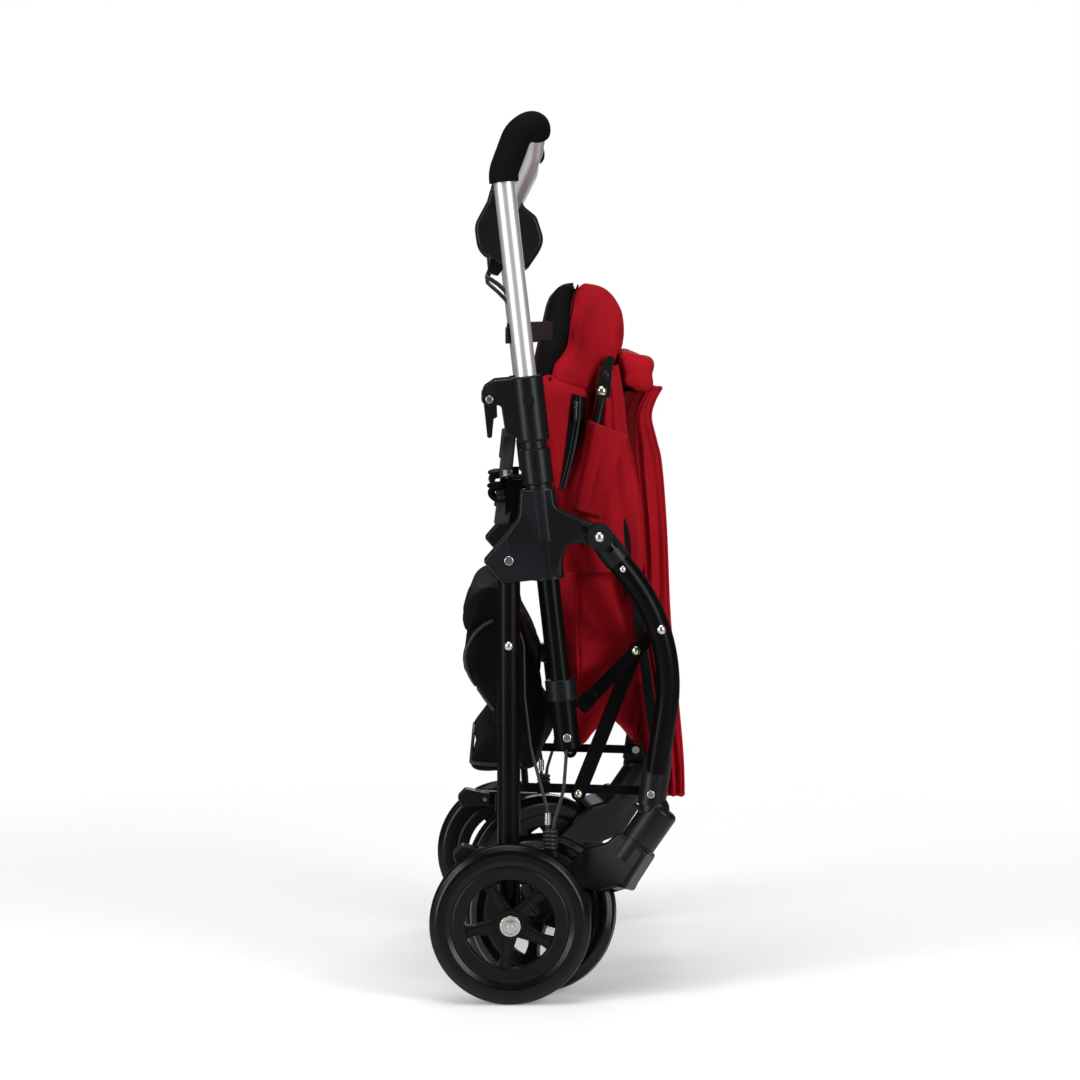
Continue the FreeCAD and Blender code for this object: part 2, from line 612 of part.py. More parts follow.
def front_knuckle(side):
    y = side * FRAME_Y
    route = leg_route(side, 0, 0)
    along = (route[1] - route[0]).normalize()
    body = pin(FRONT_PIVOT, y - 14.5, y + 14.5, 14.6)
    body = body.fuse(leg_tilt(cylinder(route[0] + along * 4, route[0] + along * 34, 14.6), side))
    body = body.cut(leg_tilt(cylinder(route[0] + along * 20, route[0] + along * 40, FRONT_LEG_R), side))
    body = body.cut(pin(FRONT_PIVOT, y - 6.4, y + 6.4, 15.8))
    opening = box(FRONT_PIVOT[0] - 40, FRONT_PIVOT[0] + 4, y - 6.4, y + 6.4, FRONT_PIVOT[1] - 22,
                  FRONT_PIVOT[1] + 14)
    body = body.cut(opening).cut(pin(FRONT_PIVOT, y - 20, y + 20, 3.0))
    for dx, dz in ((11.5, -13.0), (18.5, -7.5)):
        x, z = FRONT_PIVOT[0] + dx, FRONT_PIVOT[1] + dz
        notch = box(x - 3.3, x + 3.3, y + side * 9.5, y + side * 17, z - 3.3, z + 3.3)
        notch.rotate(V(x, y, z), V(0, 1, 0), -38)
        body = body.cut(notch)
    return body.removeSplitter()


def front_rivets(side):
    """Hinge rivet and seat-rail rivet of one front leg."""
    hinge = dome(FRONT_PIVOT, side * (FRAME_Y + 14.5), side, 5.2, 3.0, 28)
    return [hinge, seat_rivet(side), tip_rivet(side)]


SWIVEL = V(-math.sin(math.radians(SWIVEL_TILT)), 0, -math.cos(math.radians(SWIVEL_TILT)))
BEHIND = V(-math.cos(math.radians(SWIVEL_TILT)), 0, math.sin(math.radians(SWIVEL_TILT)))


def swivel_point(side, along=0.0, across=0.0):
    return V(SWIVEL_POINT[0], side * FRONT_TRACK, SWIVEL_POINT[1]) + SWIVEL * along + BEHIND * across


def caster_socket(side):
    y = side * FRONT_TRACK
    end = V(LEG_END[0], y, LEG_END[1])
    top = V(107.7, y, 261.6)
    up = (top - end).normalize()
    body = cylinder(end - up * 14, top, 15.6)
    top_z = body.BoundBox.ZMax
    body = body.makeFillet(1.2, [e for e in body.Edges if top_z - e.BoundBox.ZMax < 1.5 and e.Length > 50])
    swivel = cylinder(swivel_point(side, -0.3), swivel_point(side, -46), SWIVEL_R)
    swivel = swivel.makeFillet(6.0, [e for e in swivel.Edges
                                     if e.Length > 50 and e.CenterOfMass.z > SWIVEL_POINT[1] + 20])
    blend = Part.makeSphere(17.5, V(102.5, y, 203.0))
    body = fuse(body, swivel, blend)
    body = body.cut(leg_tilt(pipe(leg_route(side, 20, LEG_STOP), [LEG_BEND], FRONT_LEG_R), side))
    body = body.cut(cylinder(swivel_point(side, 1), swivel_point(side, -34), KINGPIN_R + FIT))
    flat = box(60, 130, side * 179.0, side * 150.0, 206.0, 240.0)
    body = body.cut(flat).cut(basket_pivot(side)).cut(socket_screw(side))
    return body.removeSplitter()


def front_wheel_centre(side):
    return swivel_point(side, axle_drop(), TRAIL)


def axle_drop():
    """Distance along the swivel axis that sets the turned-in wheel on the floor."""
    toe = math.radians(TOE_IN)
    camber = math.sin(math.radians(SWIVEL_TILT)) * math.sin(toe)
    arc_r = WHEEL_R - TREAD_ROUND
    arc_y = FRONT_WHEEL_W / 2 - TREAD_EDGE - TREAD_ROUND / 2
    lowest = arc_r * math.sqrt(1 - camber ** 2) + arc_y * camber + TREAD_ROUND
    height = SWIVEL_POINT[1] + TRAIL * math.sin(math.radians(SWIVEL_TILT)) * math.cos(toe)
    return (height - lowest) / math.cos(math.radians(SWIVEL_TILT))


def toe(shape, side):
    """Turn a caster piece about its swivel to its folded position."""
    base = swivel_point(side)
    shape.rotate(base, V(-SWIVEL.x, 0, -SWIVEL.z), side * TOE_IN)
    return shape


def caster_fork(side):
    y = side * FRONT_TRACK
    centre = front_wheel_centre(side)
    c = (centre.x, centre.z)
    hood = plate(((69.0, 178.0, 8), (54.0, 165.0, 10), (37.0, 161.5, 14), (21.0, 152.0, 8),
                  (12.0, 140.0, 6),
                  (28.0, 114.5, 8), (48.2, 110.5, 16), (68.9, 116.5, 8), (78.0, 114.0, 4), (83.0, 124.0, 6),
                  (102.0, 154.0, 4), (90.0, 164.0, 0)), y - 18.5, y + 18.5, 5.0)
    top = cylinder(swivel_point(side, 0.3), swivel_point(side, 26), SWIVEL_R)
    body = hood.fuse(top)
    cheek = ((20.0, 147.0, 4), (12.5, 140.0, 6), (c[0] - 11.0, c[1] + 7.0, 8), (c[0] - 9.0, c[1] - 11.0, 9),
             (c[0] + 11.0, c[1] - 11.0, 8), (30.0, 116.0, 8), (40.0, 125.0, 6))
    for cheek_side in (-1, 1):
        body = body.fuse(plate(cheek, y + cheek_side * 14.2, y + cheek_side * 18.5, 1.2))
    body = body.cut(pin(c, y - 14.0, y + 14.0, WHEEL_R + 3.0))
    body = body.cut(pin(c, y - 30, y + 30, AXLE_R))
    kingpin = cylinder(swivel_point(side, 6), swivel_point(side, -30), KINGPIN_R)
    return toe(fuse(body, kingpin), side)


def front_axle(side):
    y = side * FRONT_TRACK
    centre = front_wheel_centre(side)
    c = (centre.x, centre.z)
    shaft = pin(c, y - 20.0, y + 20.0, AXLE_R)
    heads = [pin(c, y + e * 18.6, y + e * 21.0, 6.5) for e in (-1, 1)]
    spacers = [pin(c, y + e * 13.9, y + e * (FRONT_WHEEL_W / 2 - 1.0), 7.0) for e in (-1, 1)]
    return toe(fuse(shaft, *heads, *spacers), side)


def front_rim(side):
    centre = front_wheel_centre(side)
    return toe(rim((centre.x, centre.z), side * FRONT_TRACK, FRONT_WHEEL_W, side), side)


def front_tyre(side):
    centre = front_wheel_centre(side)
    return toe(tyre((centre.x, centre.z), side * FRONT_TRACK, FRONT_WHEEL_W), side)


# ---- folding rails and links --------------------------------------------------------------------
def bar_outline(a, b, half, cut=0.0):
    """Flat bar round-ended at both points; cut leaves the far end square."""
    along = (V(b[0], 0, b[1]) - V(a[0], 0, a[1])).normalize()
    across = V(-along.z, 0, along.x) * half
    start, stop = V(a[0], 0, a[1]) - along * half, V(b[0], 0, b[1]) + along * half
    corners = [start + across, start - across, stop - across, stop + across]
    end_radius = 1.5 if cut else half * 0.98
    radii = (half * 0.98, half * 0.98, end_radius, end_radius)
    return tuple((p.x, p.z, r) for p, r in zip(corners, radii))


def seat_rail(side):
    end = (27.0, 320.0)
    bar = plate(bar_outline(SEAT_PIVOT, end, 7.6, 1.0), side * 184.0, side * 188.0, 0.6)
    cap = plate(bar_outline((32.0, 325.6), end, 8.6, 1.0), side * 183.0, side * 189.0, 1.0)
    inner = plate(bar_outline((35.0, 328.0), end, 7.7, 1.0), side * 184.0, side * 188.0)
    bar = bar.fuse(cap.cut(inner))
    bar = bar.cut(pin(SEAT_PIVOT, side * 180, side * 192, 3.0 + FIT))
    return bar.cut(pin(LINK_PIVOT, side * 180, side * 192, 3.0)).removeSplitter()


def link_rivet(side):
    rivet = dome(LINK_PIVOT, side * 188.0, side, 4.6, 3.0, 10.6)
    return fuse(rivet, pin(LINK_PIVOT, side * 177.4, side * 178.6, 5.0))


def drop_link(side):
    bar = plate(bar_outline(LINK_PIVOT, LINK_END, 8.0), side * 179.2, side * 182.8, 0.6)
    return bar.cut(pin(LINK_PIVOT, side * 170, side * 190, 3.0 + FIT)).cut(pin(LINK_END, side * 170,
                                                                               side * 190, 3.0))


def drop_rivet(side):
    return dome(LINK_END, side * 182.8, side, 4.6, 3.0, 4.4)


def basket_frame():
    """Two side rails and the rod that joins their rear ends."""
    rear = (-38.0, 226.0)
    rails = []
    for _, side in SIDES:
        rail = plate(bar_outline(BASKET_PIVOT, rear, 5.0), side * 174.2, side * 177.8, 0.6)
        rails.append(rail.cut(pin(BASKET_PIVOT, side * 170, side * 180, 2.5 + FIT)))
    rod = pin(rear, -176.0, 176.0, 4.0)
    return fuse(*rails, rod)


def basket_pivot(side):
    return fuse(pin(BASKET_PIVOT, side * 173.0, side * 180.0, 2.5),
                pin(BASKET_PIVOT, side * 172.0, side * 173.8, 4.5),
                pin(BASKET_PIVOT, side * 178.2, side * 179.4, 4.5))


def socket_screw(side):
    return screw((98.5, 222.0), side * (FRONT_TRACK + 15.2), side, 4.4, 2.0, 1.0)


# ---- canopy -------------------------------------------------------------------------------------
def canopy_hinge(side):
    """Riveted side plate that the bow turns on, with its tube going down into the back cover."""
    y = side * 166.5
    body = plate(((53.0, 700.5, 2), (60.0, 699.0, 2), (57.5, 686.0, 3), (55.0, 655.0, 3), (42.0, 651.0, 3),
                  (39.5, 664.0, 3), (44.5, 687.0, 3)), side * 164.8, side * 168.8, 0.8)
    rod = cylinder(V(46.0, y, 654.0), V(37.0, y, 612.0), 5.0)
    rod = rod.common(box(20, 80, side * 164.4, side * 172, 600, 655))
    hinge = fuse(body, rod, canopy_hook(side)).cut(pin(CANOPY_PIVOT, side * 160, side * 172, 3.0 + FIT))
    return hinge.cut(hinge_rivet(side))


def canopy_hook(side):
    return plate(((56.0, 690.0, 1), (66.0, 691.5, 3), (77.0, 686.5, 3), (82.5, 678.0, 1), (80.0, 677.0, 1),
                  (73.0, 682.5, 3), (63.0, 682.0, 3), (58.0, 666.0, 3), (56.6, 668.0, 1)),
                 side * 165.6, side * 168.0)


def hinge_rivet(side):
    return dome((45.8, 661.4), side * 168.8, side, 5.4, 1.5, 3.0)


def canopy_bow():
    """Flat side arms and a round front rod, one bent strip."""
    arms = []
    for _, side in SIDES:
        arm = plate(bar_outline(CANOPY_PIVOT, BOW_END, 5.5), side * (BOW_Y - 2), side * (BOW_Y + 2), 0.6)
        arms.append(arm)
        arms.append(pin(CANOPY_PIVOT, side * (BOW_Y + 1), side * 168.8, 3.0))
        arms.append(dome(CANOPY_PIVOT, side * 169.1, side, 5.4, 2.9, 0.6))
    return fuse(*arms, pin(BOW_END, -BOW_Y, BOW_Y, 4.0))


# ---- soft parts, as plain solids ----------------------------------------------------------------
def backrest():
    return plate(((24.0, 781.0, 8), (4.0, 775.0, 10), (-5.0, 753.0, 20), (-21.0, 686.0, 20),
                  (-21.0, 640.0, 30),
                  (-12.0, 600.0, 20), (0.0, 552.0, 4), (18.0, 552.0, 4), (33.0, 600.0, 30), (40.0, 650.0,
                                                                                             20),
                  (56.0, 700.0, 20), (66.0, 710.0, 10), (70.0, 742.0, 20), (63.0, 764.0, 14), (46.0,
                                                                                               779.0, 10)),
                 -SEAT_HALF, SEAT_HALF, 3.0)


def canopy_bundle():
    return plate(((71.0, 706.0, 4), (94.0, 701.0, 8), (105.0, 686.0, 8), (104.5, 670.0, 5),
                  (84.0, 655.0, 8),
                  (65.0, 690.0, 8)), -158.0, 158.0, 2.0)


def canopy_drape():
    return plate(((112.0, 668.0, 3), (100.5, 632.0, 8), (114.5, 580.0, 30), (120.0, 508.0, 60),
                  (125.0, 407.0, 60),
                  (137.0, 300.0, 60), (142.6, 252.0, 30), (141.0, 214.0, 8), (121.0, 212.0, 6), (122.0,
                                                                                                 300.0, 60),
                  (109.0, 400.0, 60), (100.0, 500.0, 60), (84.0, 560.0, 40), (76.0, 610.0, 20), (86.0,
                                                                                                 645.0, 6),
                  (104.0, 664.0, 3)), -158.0, 158.0)


def seat_cloth():
    return plate(((18.0, 540.0, 6), (44.0, 540.0, 6), (62.0, 480.0, 20), (82.0, 420.0, 20),
                  (92.0, 340.0, 20),
                  (84.0, 268.0, 8), (66.0, 300.0, 30), (36.0, 274.0, 10), (14.0, 300.0, 20), (12.0, 420.0,
                                                                                              40)),
                 -158.0, 158.0)


def side_flap(side):
    return plate(((30.0, 630.0, 2), (72.0, 615.0, 2), (46.0, 522.0, 2), (13.0, 533.0, 2)),
                 side * 173.4, side * 176.0, 0.6)


def basket():
    return plate(((-80.0, 450.0, 8), (-97.0, 425.0, 12), (-108.0, 372.0, 20), (-92.0, 325.0, 20),
                  (-76.0, 300.0, 12),
                  (-97.0, 262.0, 8), (-96.0, 245.0, 6), (-20.0, 247.0, 12), (-12.0, 330.0, 30), (-34.0,
                                                                                                 410.0, 30),
                  (-62.0, 448.0, 10)), -186.0, 186.0)


def strap_loop(side):
    """Recline strap: a webbing loop round the push-bar tube, ending at the back panel."""
    ring_x = tube_x(726.0)
    outer = box(ring_x - 14.8, ring_x + 14.8, side * (FRAME_Y - 13.6), side * (FRAME_Y + 13.6), 715.0,
                737.0)
    hole = box(ring_x - 13.4, ring_x + 13.4, side * (FRAME_Y - 12.2), side * (FRAME_Y + 12.2), 713.0, 739.0)
    corners = ((ring_x + 13.6, FRAME_Y - 12.0), (ring_x + 14.8, FRAME_Y - 13.6), (-6.0, 157.0),
               (-8.0, 157.0))
    base = [V(x, side * y, 715.0) for x, y in corners]
    tail = Part.Face(Part.makePolygon(base + [base[0]])).extrude(V(0, 0, 22.0))
    return fuse(outer.cut(hole), tail)


# ---- write every piece --------------------------------------------------------------------------
for name, side in SIDES:
    write("hub_" + name, hub(side))
    write("latch_housing_" + name, latch_housing(side))
    write("latch_lever_" + name, latch_lever(side))
    write("brake_pedal_" + name, brake_pedal(side))
    write("rear_rim_" + name, rim(REAR_WHEEL, side * REAR_WHEEL_Y, REAR_WHEEL_W, side))
    write("rear_tyre_" + name, tyre(REAR_WHEEL, side * REAR_WHEEL_Y, REAR_WHEEL_W))
    write("front_leg_" + name, front_leg(side))
    write("caster_socket_" + name, caster_socket(side))
    write("caster_fork_" + name, caster_fork(side))
    write("front_axle_" + name, front_axle(side))
    write("front_rim_" + name, front_rim(side))
    write("front_tyre_" + name, front_tyre(side))

write("upright_tubes", *both(upright))
write("slider_tubes", *both(slider_tube))
write("slider_collars", *both(slider_collar))
write("slider_screws", *both(slider_screw))
write("sleeves", *both(sleeve))
write("frame_screws", *frame_screws(-1), *frame_screws(1))
write("cross_brace", cross_brace())
write("push_bar", push_bar())
write("grips", *both(grip))
write("console_rear", console_part(False))
write("console_front", console_part(True))
write("release_trigger", release_trigger())
write("handle_cables", *both(handle_cable))
write("rear_cross_tube", rear_cross_tube())
write("rear_legs", *both(rear_leg))
write("rear_axles", *both(rear_axle), *both(brake_pin), *both(cable_ferrule), *both(leg_rivet))
write("brake_housings", *both(brake_housing))
write("brake_boots", *both(brake_boot))
write("brake_cables", *both(leg_cable), *both(tube_cable))
write("front_knuckles", *both(front_knuckle))
write("front_fasteners", *front_rivets(-1), *front_rivets(1), *both(socket_screw), *both(basket_pivot))
write("seat_rails", *both(seat_rail))
write("link_rivets", *both(link_rivet))
write("drop_links", *both(drop_link))
write("drop_rivets", *both(drop_rivet))
write("basket_frame", basket_frame())
write("canopy_hinges", *both(canopy_hinge))
write("hinge_rivets", *both(hinge_rivet))
write("canopy_bow", canopy_bow())
write("backrest", backrest())
write("canopy_bundle", canopy_bundle())
write("canopy_drape", canopy_drape())
write("seat_cloth", seat_cloth())
write("side_flaps", *both(side_flap))
write("recline_straps", *both(strap_loop))
write("basket", basket())
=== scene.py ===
import math

import bmesh
import bpy
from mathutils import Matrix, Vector, noise


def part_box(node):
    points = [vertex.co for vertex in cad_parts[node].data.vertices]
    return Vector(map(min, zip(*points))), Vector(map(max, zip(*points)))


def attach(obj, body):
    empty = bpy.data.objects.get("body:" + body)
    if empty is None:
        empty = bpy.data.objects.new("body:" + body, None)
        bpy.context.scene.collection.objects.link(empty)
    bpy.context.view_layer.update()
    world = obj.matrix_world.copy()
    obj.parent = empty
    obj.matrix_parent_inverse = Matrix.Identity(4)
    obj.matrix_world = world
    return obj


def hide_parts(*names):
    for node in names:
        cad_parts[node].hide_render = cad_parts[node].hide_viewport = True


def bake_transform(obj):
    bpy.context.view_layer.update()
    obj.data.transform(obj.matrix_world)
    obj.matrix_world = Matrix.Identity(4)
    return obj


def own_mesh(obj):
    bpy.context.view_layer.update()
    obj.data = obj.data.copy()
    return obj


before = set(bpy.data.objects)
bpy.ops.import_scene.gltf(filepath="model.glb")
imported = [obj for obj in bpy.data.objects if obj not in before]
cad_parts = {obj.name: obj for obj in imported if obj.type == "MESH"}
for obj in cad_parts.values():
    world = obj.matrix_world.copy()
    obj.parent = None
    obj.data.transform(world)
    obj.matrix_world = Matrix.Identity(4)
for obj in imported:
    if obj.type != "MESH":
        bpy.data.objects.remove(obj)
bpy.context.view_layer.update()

# ---- studio -------------------------------------------------------------------------------------
# A long lens a little above the hubs, square to the stroller's right side. Two tall soft boxes, one
# to its rear and one to its front, draw the bright lines along its round tubes. One more hangs over
# it and one stands beyond it, and the round floor fades into the pale room.
scene = bpy.context.scene
scene.view_settings.view_transform = "Standard"

AIM = Vector((-0.0194, 0.0, 0.4881))
camera_data = bpy.data.cameras.new("camera")
camera_data.lens = 101.0
camera_data.sensor_width = 36.0
camera = bpy.data.objects.new("camera", camera_data)
scene.collection.objects.link(camera)
camera.location = (-0.0716, -3.488, 0.697)
camera.rotation_euler = (AIM - camera.location).to_track_quat("-Z", "Y").to_euler()
scene.camera = camera


def soft_box(name, place, aim, size, watts, tint=(1.0, 1.0, 1.0)):
    lamp = bpy.data.lights.new(name, "AREA")
    lamp.shape = "RECTANGLE"
    lamp.size, lamp.size_y = size
    lamp.energy = watts
    lamp.color = tint
    box = bpy.data.objects.new(name, lamp)
    scene.collection.objects.link(box)
    box.location = place
    box.rotation_euler = (Vector(aim) - Vector(place)).to_track_quat("-Z", "Y").to_euler()


soft_box("rear_box", (-1.9, -1.5, 0.9), (0, 0, 0.5), (0.7, 1.9), 38)
soft_box("front_box", (1.7, -1.9, 1.1), (0, 0, 0.5), (0.8, 1.9), 42)
soft_box("top_box", (-0.2, -0.5, 2.6), (0, 0, 0.4), (1.6, 1.6), 30)
soft_box("far_box", (0.4, 2.3, 1.6), (0, 0, 0.5), (1.6, 1.6), 26)


class Value:
    """One output of a material's nodes. Arithmetic on it adds the Math nodes."""

    def __init__(self, finish, socket):
        self.finish = finish
        self.socket = socket

    def math(self, operation, first, second=0.0):
        return self.finish.node("Math", {"operation": operation}, {0: first, 1: second})

    def __add__(self, other):
        return self.math("ADD", self, other)

    def __mul__(self, other):
        return self.math("MULTIPLY", self, other)

    def __rsub__(self, other):
        return self.math("SUBTRACT", other, self)

    __radd__ = __add__
    __rmul__ = __mul__

    def wave(self, pitch):
        """Sine of this value, one wave to every pitch."""
        turned = self * (2 * math.pi / pitch)
        return turned.math("SINE", turned)

    def above(self, low, high):
        """0 below low, 1 above high, and a straight ramp between."""
        span = {"interpolation_type": "LINEAR"}
        return self.finish.node("MapRange", span, {0: self, 1: low, 2: high, 3: 0.0, 4: 1.0})


class Finish:
    """A material for one kind of surface. node() adds any node; shader values are set by name."""

    def __init__(self, name):
        self.material = bpy.data.materials.new(name)
        self.material.use_nodes = True
        self.tree = self.material.node_tree
        self.shader = self.tree.nodes["Principled BSDF"]
        self.place = self.node("TexCoord", output="Object")

    def node(self, kind, settings=None, inputs=None, output=0):
        made = self.tree.nodes.new("ShaderNode" + kind)
        for key, value in (settings or {}).items():
            setattr(made, key, value)
        for key, value in (inputs or {}).items():
            self.feed(made.inputs[key], value)
        return Value(self, made.outputs[output])

    def feed(self, socket, value):
        if isinstance(value, Value):
            self.tree.links.new(value.socket, socket)
        else:
            socket.default_value = value

    def shade(self, **values):
        for key, value in values.items():
            self.feed(self.shader.inputs[key.replace("_", " ")], value)

    def grain(self, scale, detail=4.0, stretch=(1, 1, 1), roughness=0.55):
        """Noise from 0 to 1 with scale cells to the metre."""
        place = self.node("Mapping", {}, {"Vector": self.place, "Scale": stretch})
        inputs = {"Vector": place, "Scale": scale, "Detail": detail, "Roughness": roughness}
        return self.node("TexNoise", {}, inputs)

    def blend(self, factor, first, second):
        """Colour that goes from first to second."""
        ends = [end if isinstance(end, Value) else (*end, 1.0) for end in (first, second)]
        return self.node("Mix", {"data_type": "RGBA"}, {"Factor": factor, 6: ends[0], 7: ends[1]}, output=2)

    def bump(self, height, depth, strength=1.0):
        """Relief, where depth is in metres."""
        return self.node("Bump", {}, {"Height": height, "Distance": depth, "Strength": strength})


STUDIO_GREY = 0.10          # how bright the room is as a light. Behind the stroller it is white.
world = bpy.data.worlds.new("room")
scene.world = world
world.use_nodes = True
room = world.node_tree
seen = room.nodes.new("ShaderNodeLightPath").outputs["Is Camera Ray"]
walls = room.nodes.new("ShaderNodeMix")
walls.data_type = "RGBA"
room.links.new(seen, walls.inputs["Factor"])
walls.inputs[6].default_value = (STUDIO_GREY, STUDIO_GREY, STUDIO_GREY, 1)
walls.inputs[7].default_value = (1, 1, 1, 1)
room.links.new(walls.outputs[2], room.nodes["Background"].inputs["Color"])

FLOOR_R = 2.4
floor_mesh = bpy.data.meshes.new("floor")
disc = bmesh.new()
bmesh.ops.create_circle(disc, cap_ends=True, segments=96, radius=FLOOR_R)
disc.to_mesh(floor_mesh)
disc.free()
floor = bpy.data.objects.new("floor", floor_mesh)
scene.collection.objects.link(floor)
pale = Finish("pale_floor")
pale.shade(Base_Color=(0.93, 0.93, 0.93, 1), Roughness=0.85)
pale.shade(Emission_Color=(1, 1, 1, 1), Emission_Strength=0.16)
centre_distance = pale.node("VectorMath", {"operation": "LENGTH"}, {0: pale.place}, output="Value")
pale.shade(Alpha=1 - centre_distance.above(0.3, 1.5))
floor_mesh.materials.append(pale.material)


# ---- bare push bar ------------------------------------------------------------------------------
# One bent aluminium tube, bead-blasted to a satin, from both hubs up over the grips to the console.
# The telescoping stroke leaves faint lines along it, and the sleeves rub its lower end.
def dress(finish, *nodes):
    """Gives CAD nodes a finish."""
    for name in nodes:
        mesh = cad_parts[name].data
        mesh.materials.clear()
        mesh.materials.append(finish.material)
        for face in mesh.polygons:
            face.material_index = 0


satin = Finish("satin_aluminium")
draw_lines = satin.grain(260, detail=3, stretch=(1, 1, 0.03))
blast = satin.grain(2600, detail=2)
wiped = satin.grain(9, detail=3)
satin.shade(Base_Color=satin.blend(wiped.above(0.35, 0.75), (0.74, 0.745, 0.75), (0.62, 0.625, 0.635)))
satin.shade(Metallic=0.78, Roughness=0.34 + draw_lines * 0.12 + wiped * 0.06)
satin.shade(Normal=satin.bump(blast * 0.6 + draw_lines * 0.4, 0.00004, 0.5))
dress(satin, "push_bar")

# ---- black tubes --------------------------------------------------------------------------------
# Thin steel tube and flat bar, bent and then powder coated in satin black. The coat has a slight
# orange peel, and handling has polished it in places.
coated = Finish("powder_coat")
peel = coated.grain(620, detail=2)
handled = coated.grain(14, detail=4)
coat = coated.blend(handled.above(0.4, 0.8), (0.0020, 0.0020, 0.0022), (0.0042, 0.0043, 0.0047))
coated.shade(Base_Color=coat)
coated.shade(Roughness=0.25 + handled * 0.12, Specular_IOR_Level=0.085)
coated.shade(Normal=coated.bump(peel, 0.00009, 0.35))
dress(coated, "upright_tubes", "rear_legs", "rear_cross_tube", "front_leg_left", "front_leg_right",
      "slider_tubes", "cross_brace", "seat_rails", "drop_links", "basket_frame")

# ---- black mouldings ----------------------------------------------------------------------------
# Glass-filled nylon, moulded in slate black with a fine spark-eroded grain: hubs, latch housings,
# caster sockets and forks, brakes and console. Edges are rubbed a little paler.
moulded = Finish("moulded_nylon")
spark = moulded.grain(1500, detail=3)
flow = moulded.grain(22, detail=5)
rubbed = moulded.node("NewGeometry", output="Pointiness").above(0.52, 0.62)
shell = moulded.blend(flow.above(0.3, 0.8), (0.0036, 0.0041, 0.0052), (0.0066, 0.0074, 0.0090))
moulded.shade(Base_Color=moulded.blend(rubbed * 0.3, shell, (0.022, 0.024, 0.028)))
moulded.shade(Roughness=0.31 + flow * 0.08 + spark * 0.04, Specular_IOR_Level=0.19)
moulded.shade(Normal=moulded.bump(spark, 0.00012, 0.4))
dress(moulded, "hub_left", "hub_right", "sleeves", "latch_housing_left", "latch_housing_right",
      "slider_collars", "console_rear", "console_front", "brake_housings", "front_knuckles",
      "caster_socket_left", "caster_socket_right", "caster_fork_left", "caster_fork_right")

# Levers, pedals, the trigger and the canopy's strip are acetal: blacker, and glossier where touched.
lever_black = Finish("lever_acetal")
touch = lever_black.grain(30, detail=4)
lever_black.shade(Base_Color=lever_black.blend(touch, (0.0035, 0.0036, 0.004), (0.0075, 0.0078, 0.0085)))
lever_black.shade(Roughness=0.27 + touch * 0.22, Specular_IOR_Level=0.2)
lever_black.shade(Normal=lever_black.bump(lever_black.grain(1300, detail=2), 0.00006, 0.3))
dress(lever_black, "latch_lever_left", "latch_lever_right", "brake_pedal_left", "brake_pedal_right",
      "release_trigger", "canopy_hinges", "canopy_bow")

# ---- screws, rivets and axles -------------------------------------------------------------------
# Zinc-plated steel screws and washers, and domed nickel rivets. Each dulls a little at its edge.
zinc = Finish("zinc_plate")
cloud = zinc.grain(240, detail=4)
zinc.shade(Base_Color=zinc.blend(cloud, (0.78, 0.77, 0.74), (0.52, 0.50, 0.46)))
zinc.shade(Metallic=1.0, Roughness=0.17 + cloud * 0.2)
zinc.shade(Normal=zinc.bump(cloud, 0.00003, 0.4))
dress(zinc, "frame_screws", "slider_screws", "rear_axles", "front_fasteners", "front_axle_left",
      "front_axle_right")

nickel = Finish("nickel_rivet")
tarnish = nickel.grain(420, detail=4)
nickel.shade(Base_Color=nickel.blend(tarnish, (0.86, 0.80, 0.68), (0.60, 0.53, 0.42)))
nickel.shade(Metallic=1.0, Roughness=0.12 + tarnish * 0.16)
nickel.shade(Normal=nickel.bump(tarnish, 0.00002, 0.3))
dress(nickel, "link_rivets", "drop_rivets", "hinge_rivets")

# ---- wheels -------------------------------------------------------------------------------------
# Five-spoke nylon rims pushed into foamed rubber tyres. The tyre's side is smooth and slightly
# shiny, its two tread grooves and shoulders hold a film of dust.
rim_black = Finish("rim_nylon")
sink = rim_black.grain(40, detail=4)
rim_black.shade(Base_Color=rim_black.blend(sink, (0.003, 0.0032, 0.0036), (0.0062, 0.0066, 0.0072)))
rim_black.shade(Roughness=0.34 + sink * 0.16, Specular_IOR_Level=0.14)
rim_black.shade(Normal=rim_black.bump(rim_black.grain(1200, detail=2), 0.00007, 0.3))
dress(rim_black, "rear_rim_left", "rear_rim_right", "front_rim_left", "front_rim_right")

tyre_black = Finish("tyre_rubber")
dust = tyre_black.grain(55, detail=6)
scuff = tyre_black.grain(160, detail=4, stretch=(1, 0.3, 1))
tyre_black.shade(Base_Color=tyre_black.blend(dust.above(0.55, 0.85) * 0.6, (0.0018, 0.0019, 0.0021),
                                             (0.0055, 0.0054, 0.0052)))
tyre_black.shade(Roughness=0.17 + scuff * 0.12 + dust * 0.05, Specular_IOR_Level=0.2)
tyre_black.shade(Normal=tyre_black.bump(scuff * 0.5 + tyre_black.grain(1800, detail=2) * 0.5, 0.00008, 0.35))
dress(tyre_black, "rear_tyre_left", "rear_tyre_right", "front_tyre_left", "front_tyre_right")

# ---- grips, cables and bellows ------------------------------------------------------------------
# Closed-cell foam sleeves pushed over the bar's bends, rubber bellows on the brakes, and black
# plastic-coated control cables.
foam = Finish("grip_foam")
cells = foam.node("TexVoronoi", {"feature": "F1"}, {"Vector": foam.place, "Scale": 900.0})
palm = foam.grain(28, detail=4)
foam.shade(Base_Color=foam.blend(palm, (0.0022, 0.0022, 0.0023), (0.0048, 0.0048, 0.005)))
foam.shade(Roughness=0.82, Specular_IOR_Level=0.08)
foam.shade(Normal=foam.bump(cells + palm * 0.5, 0.0003, 0.6))
dress(foam, "grips")

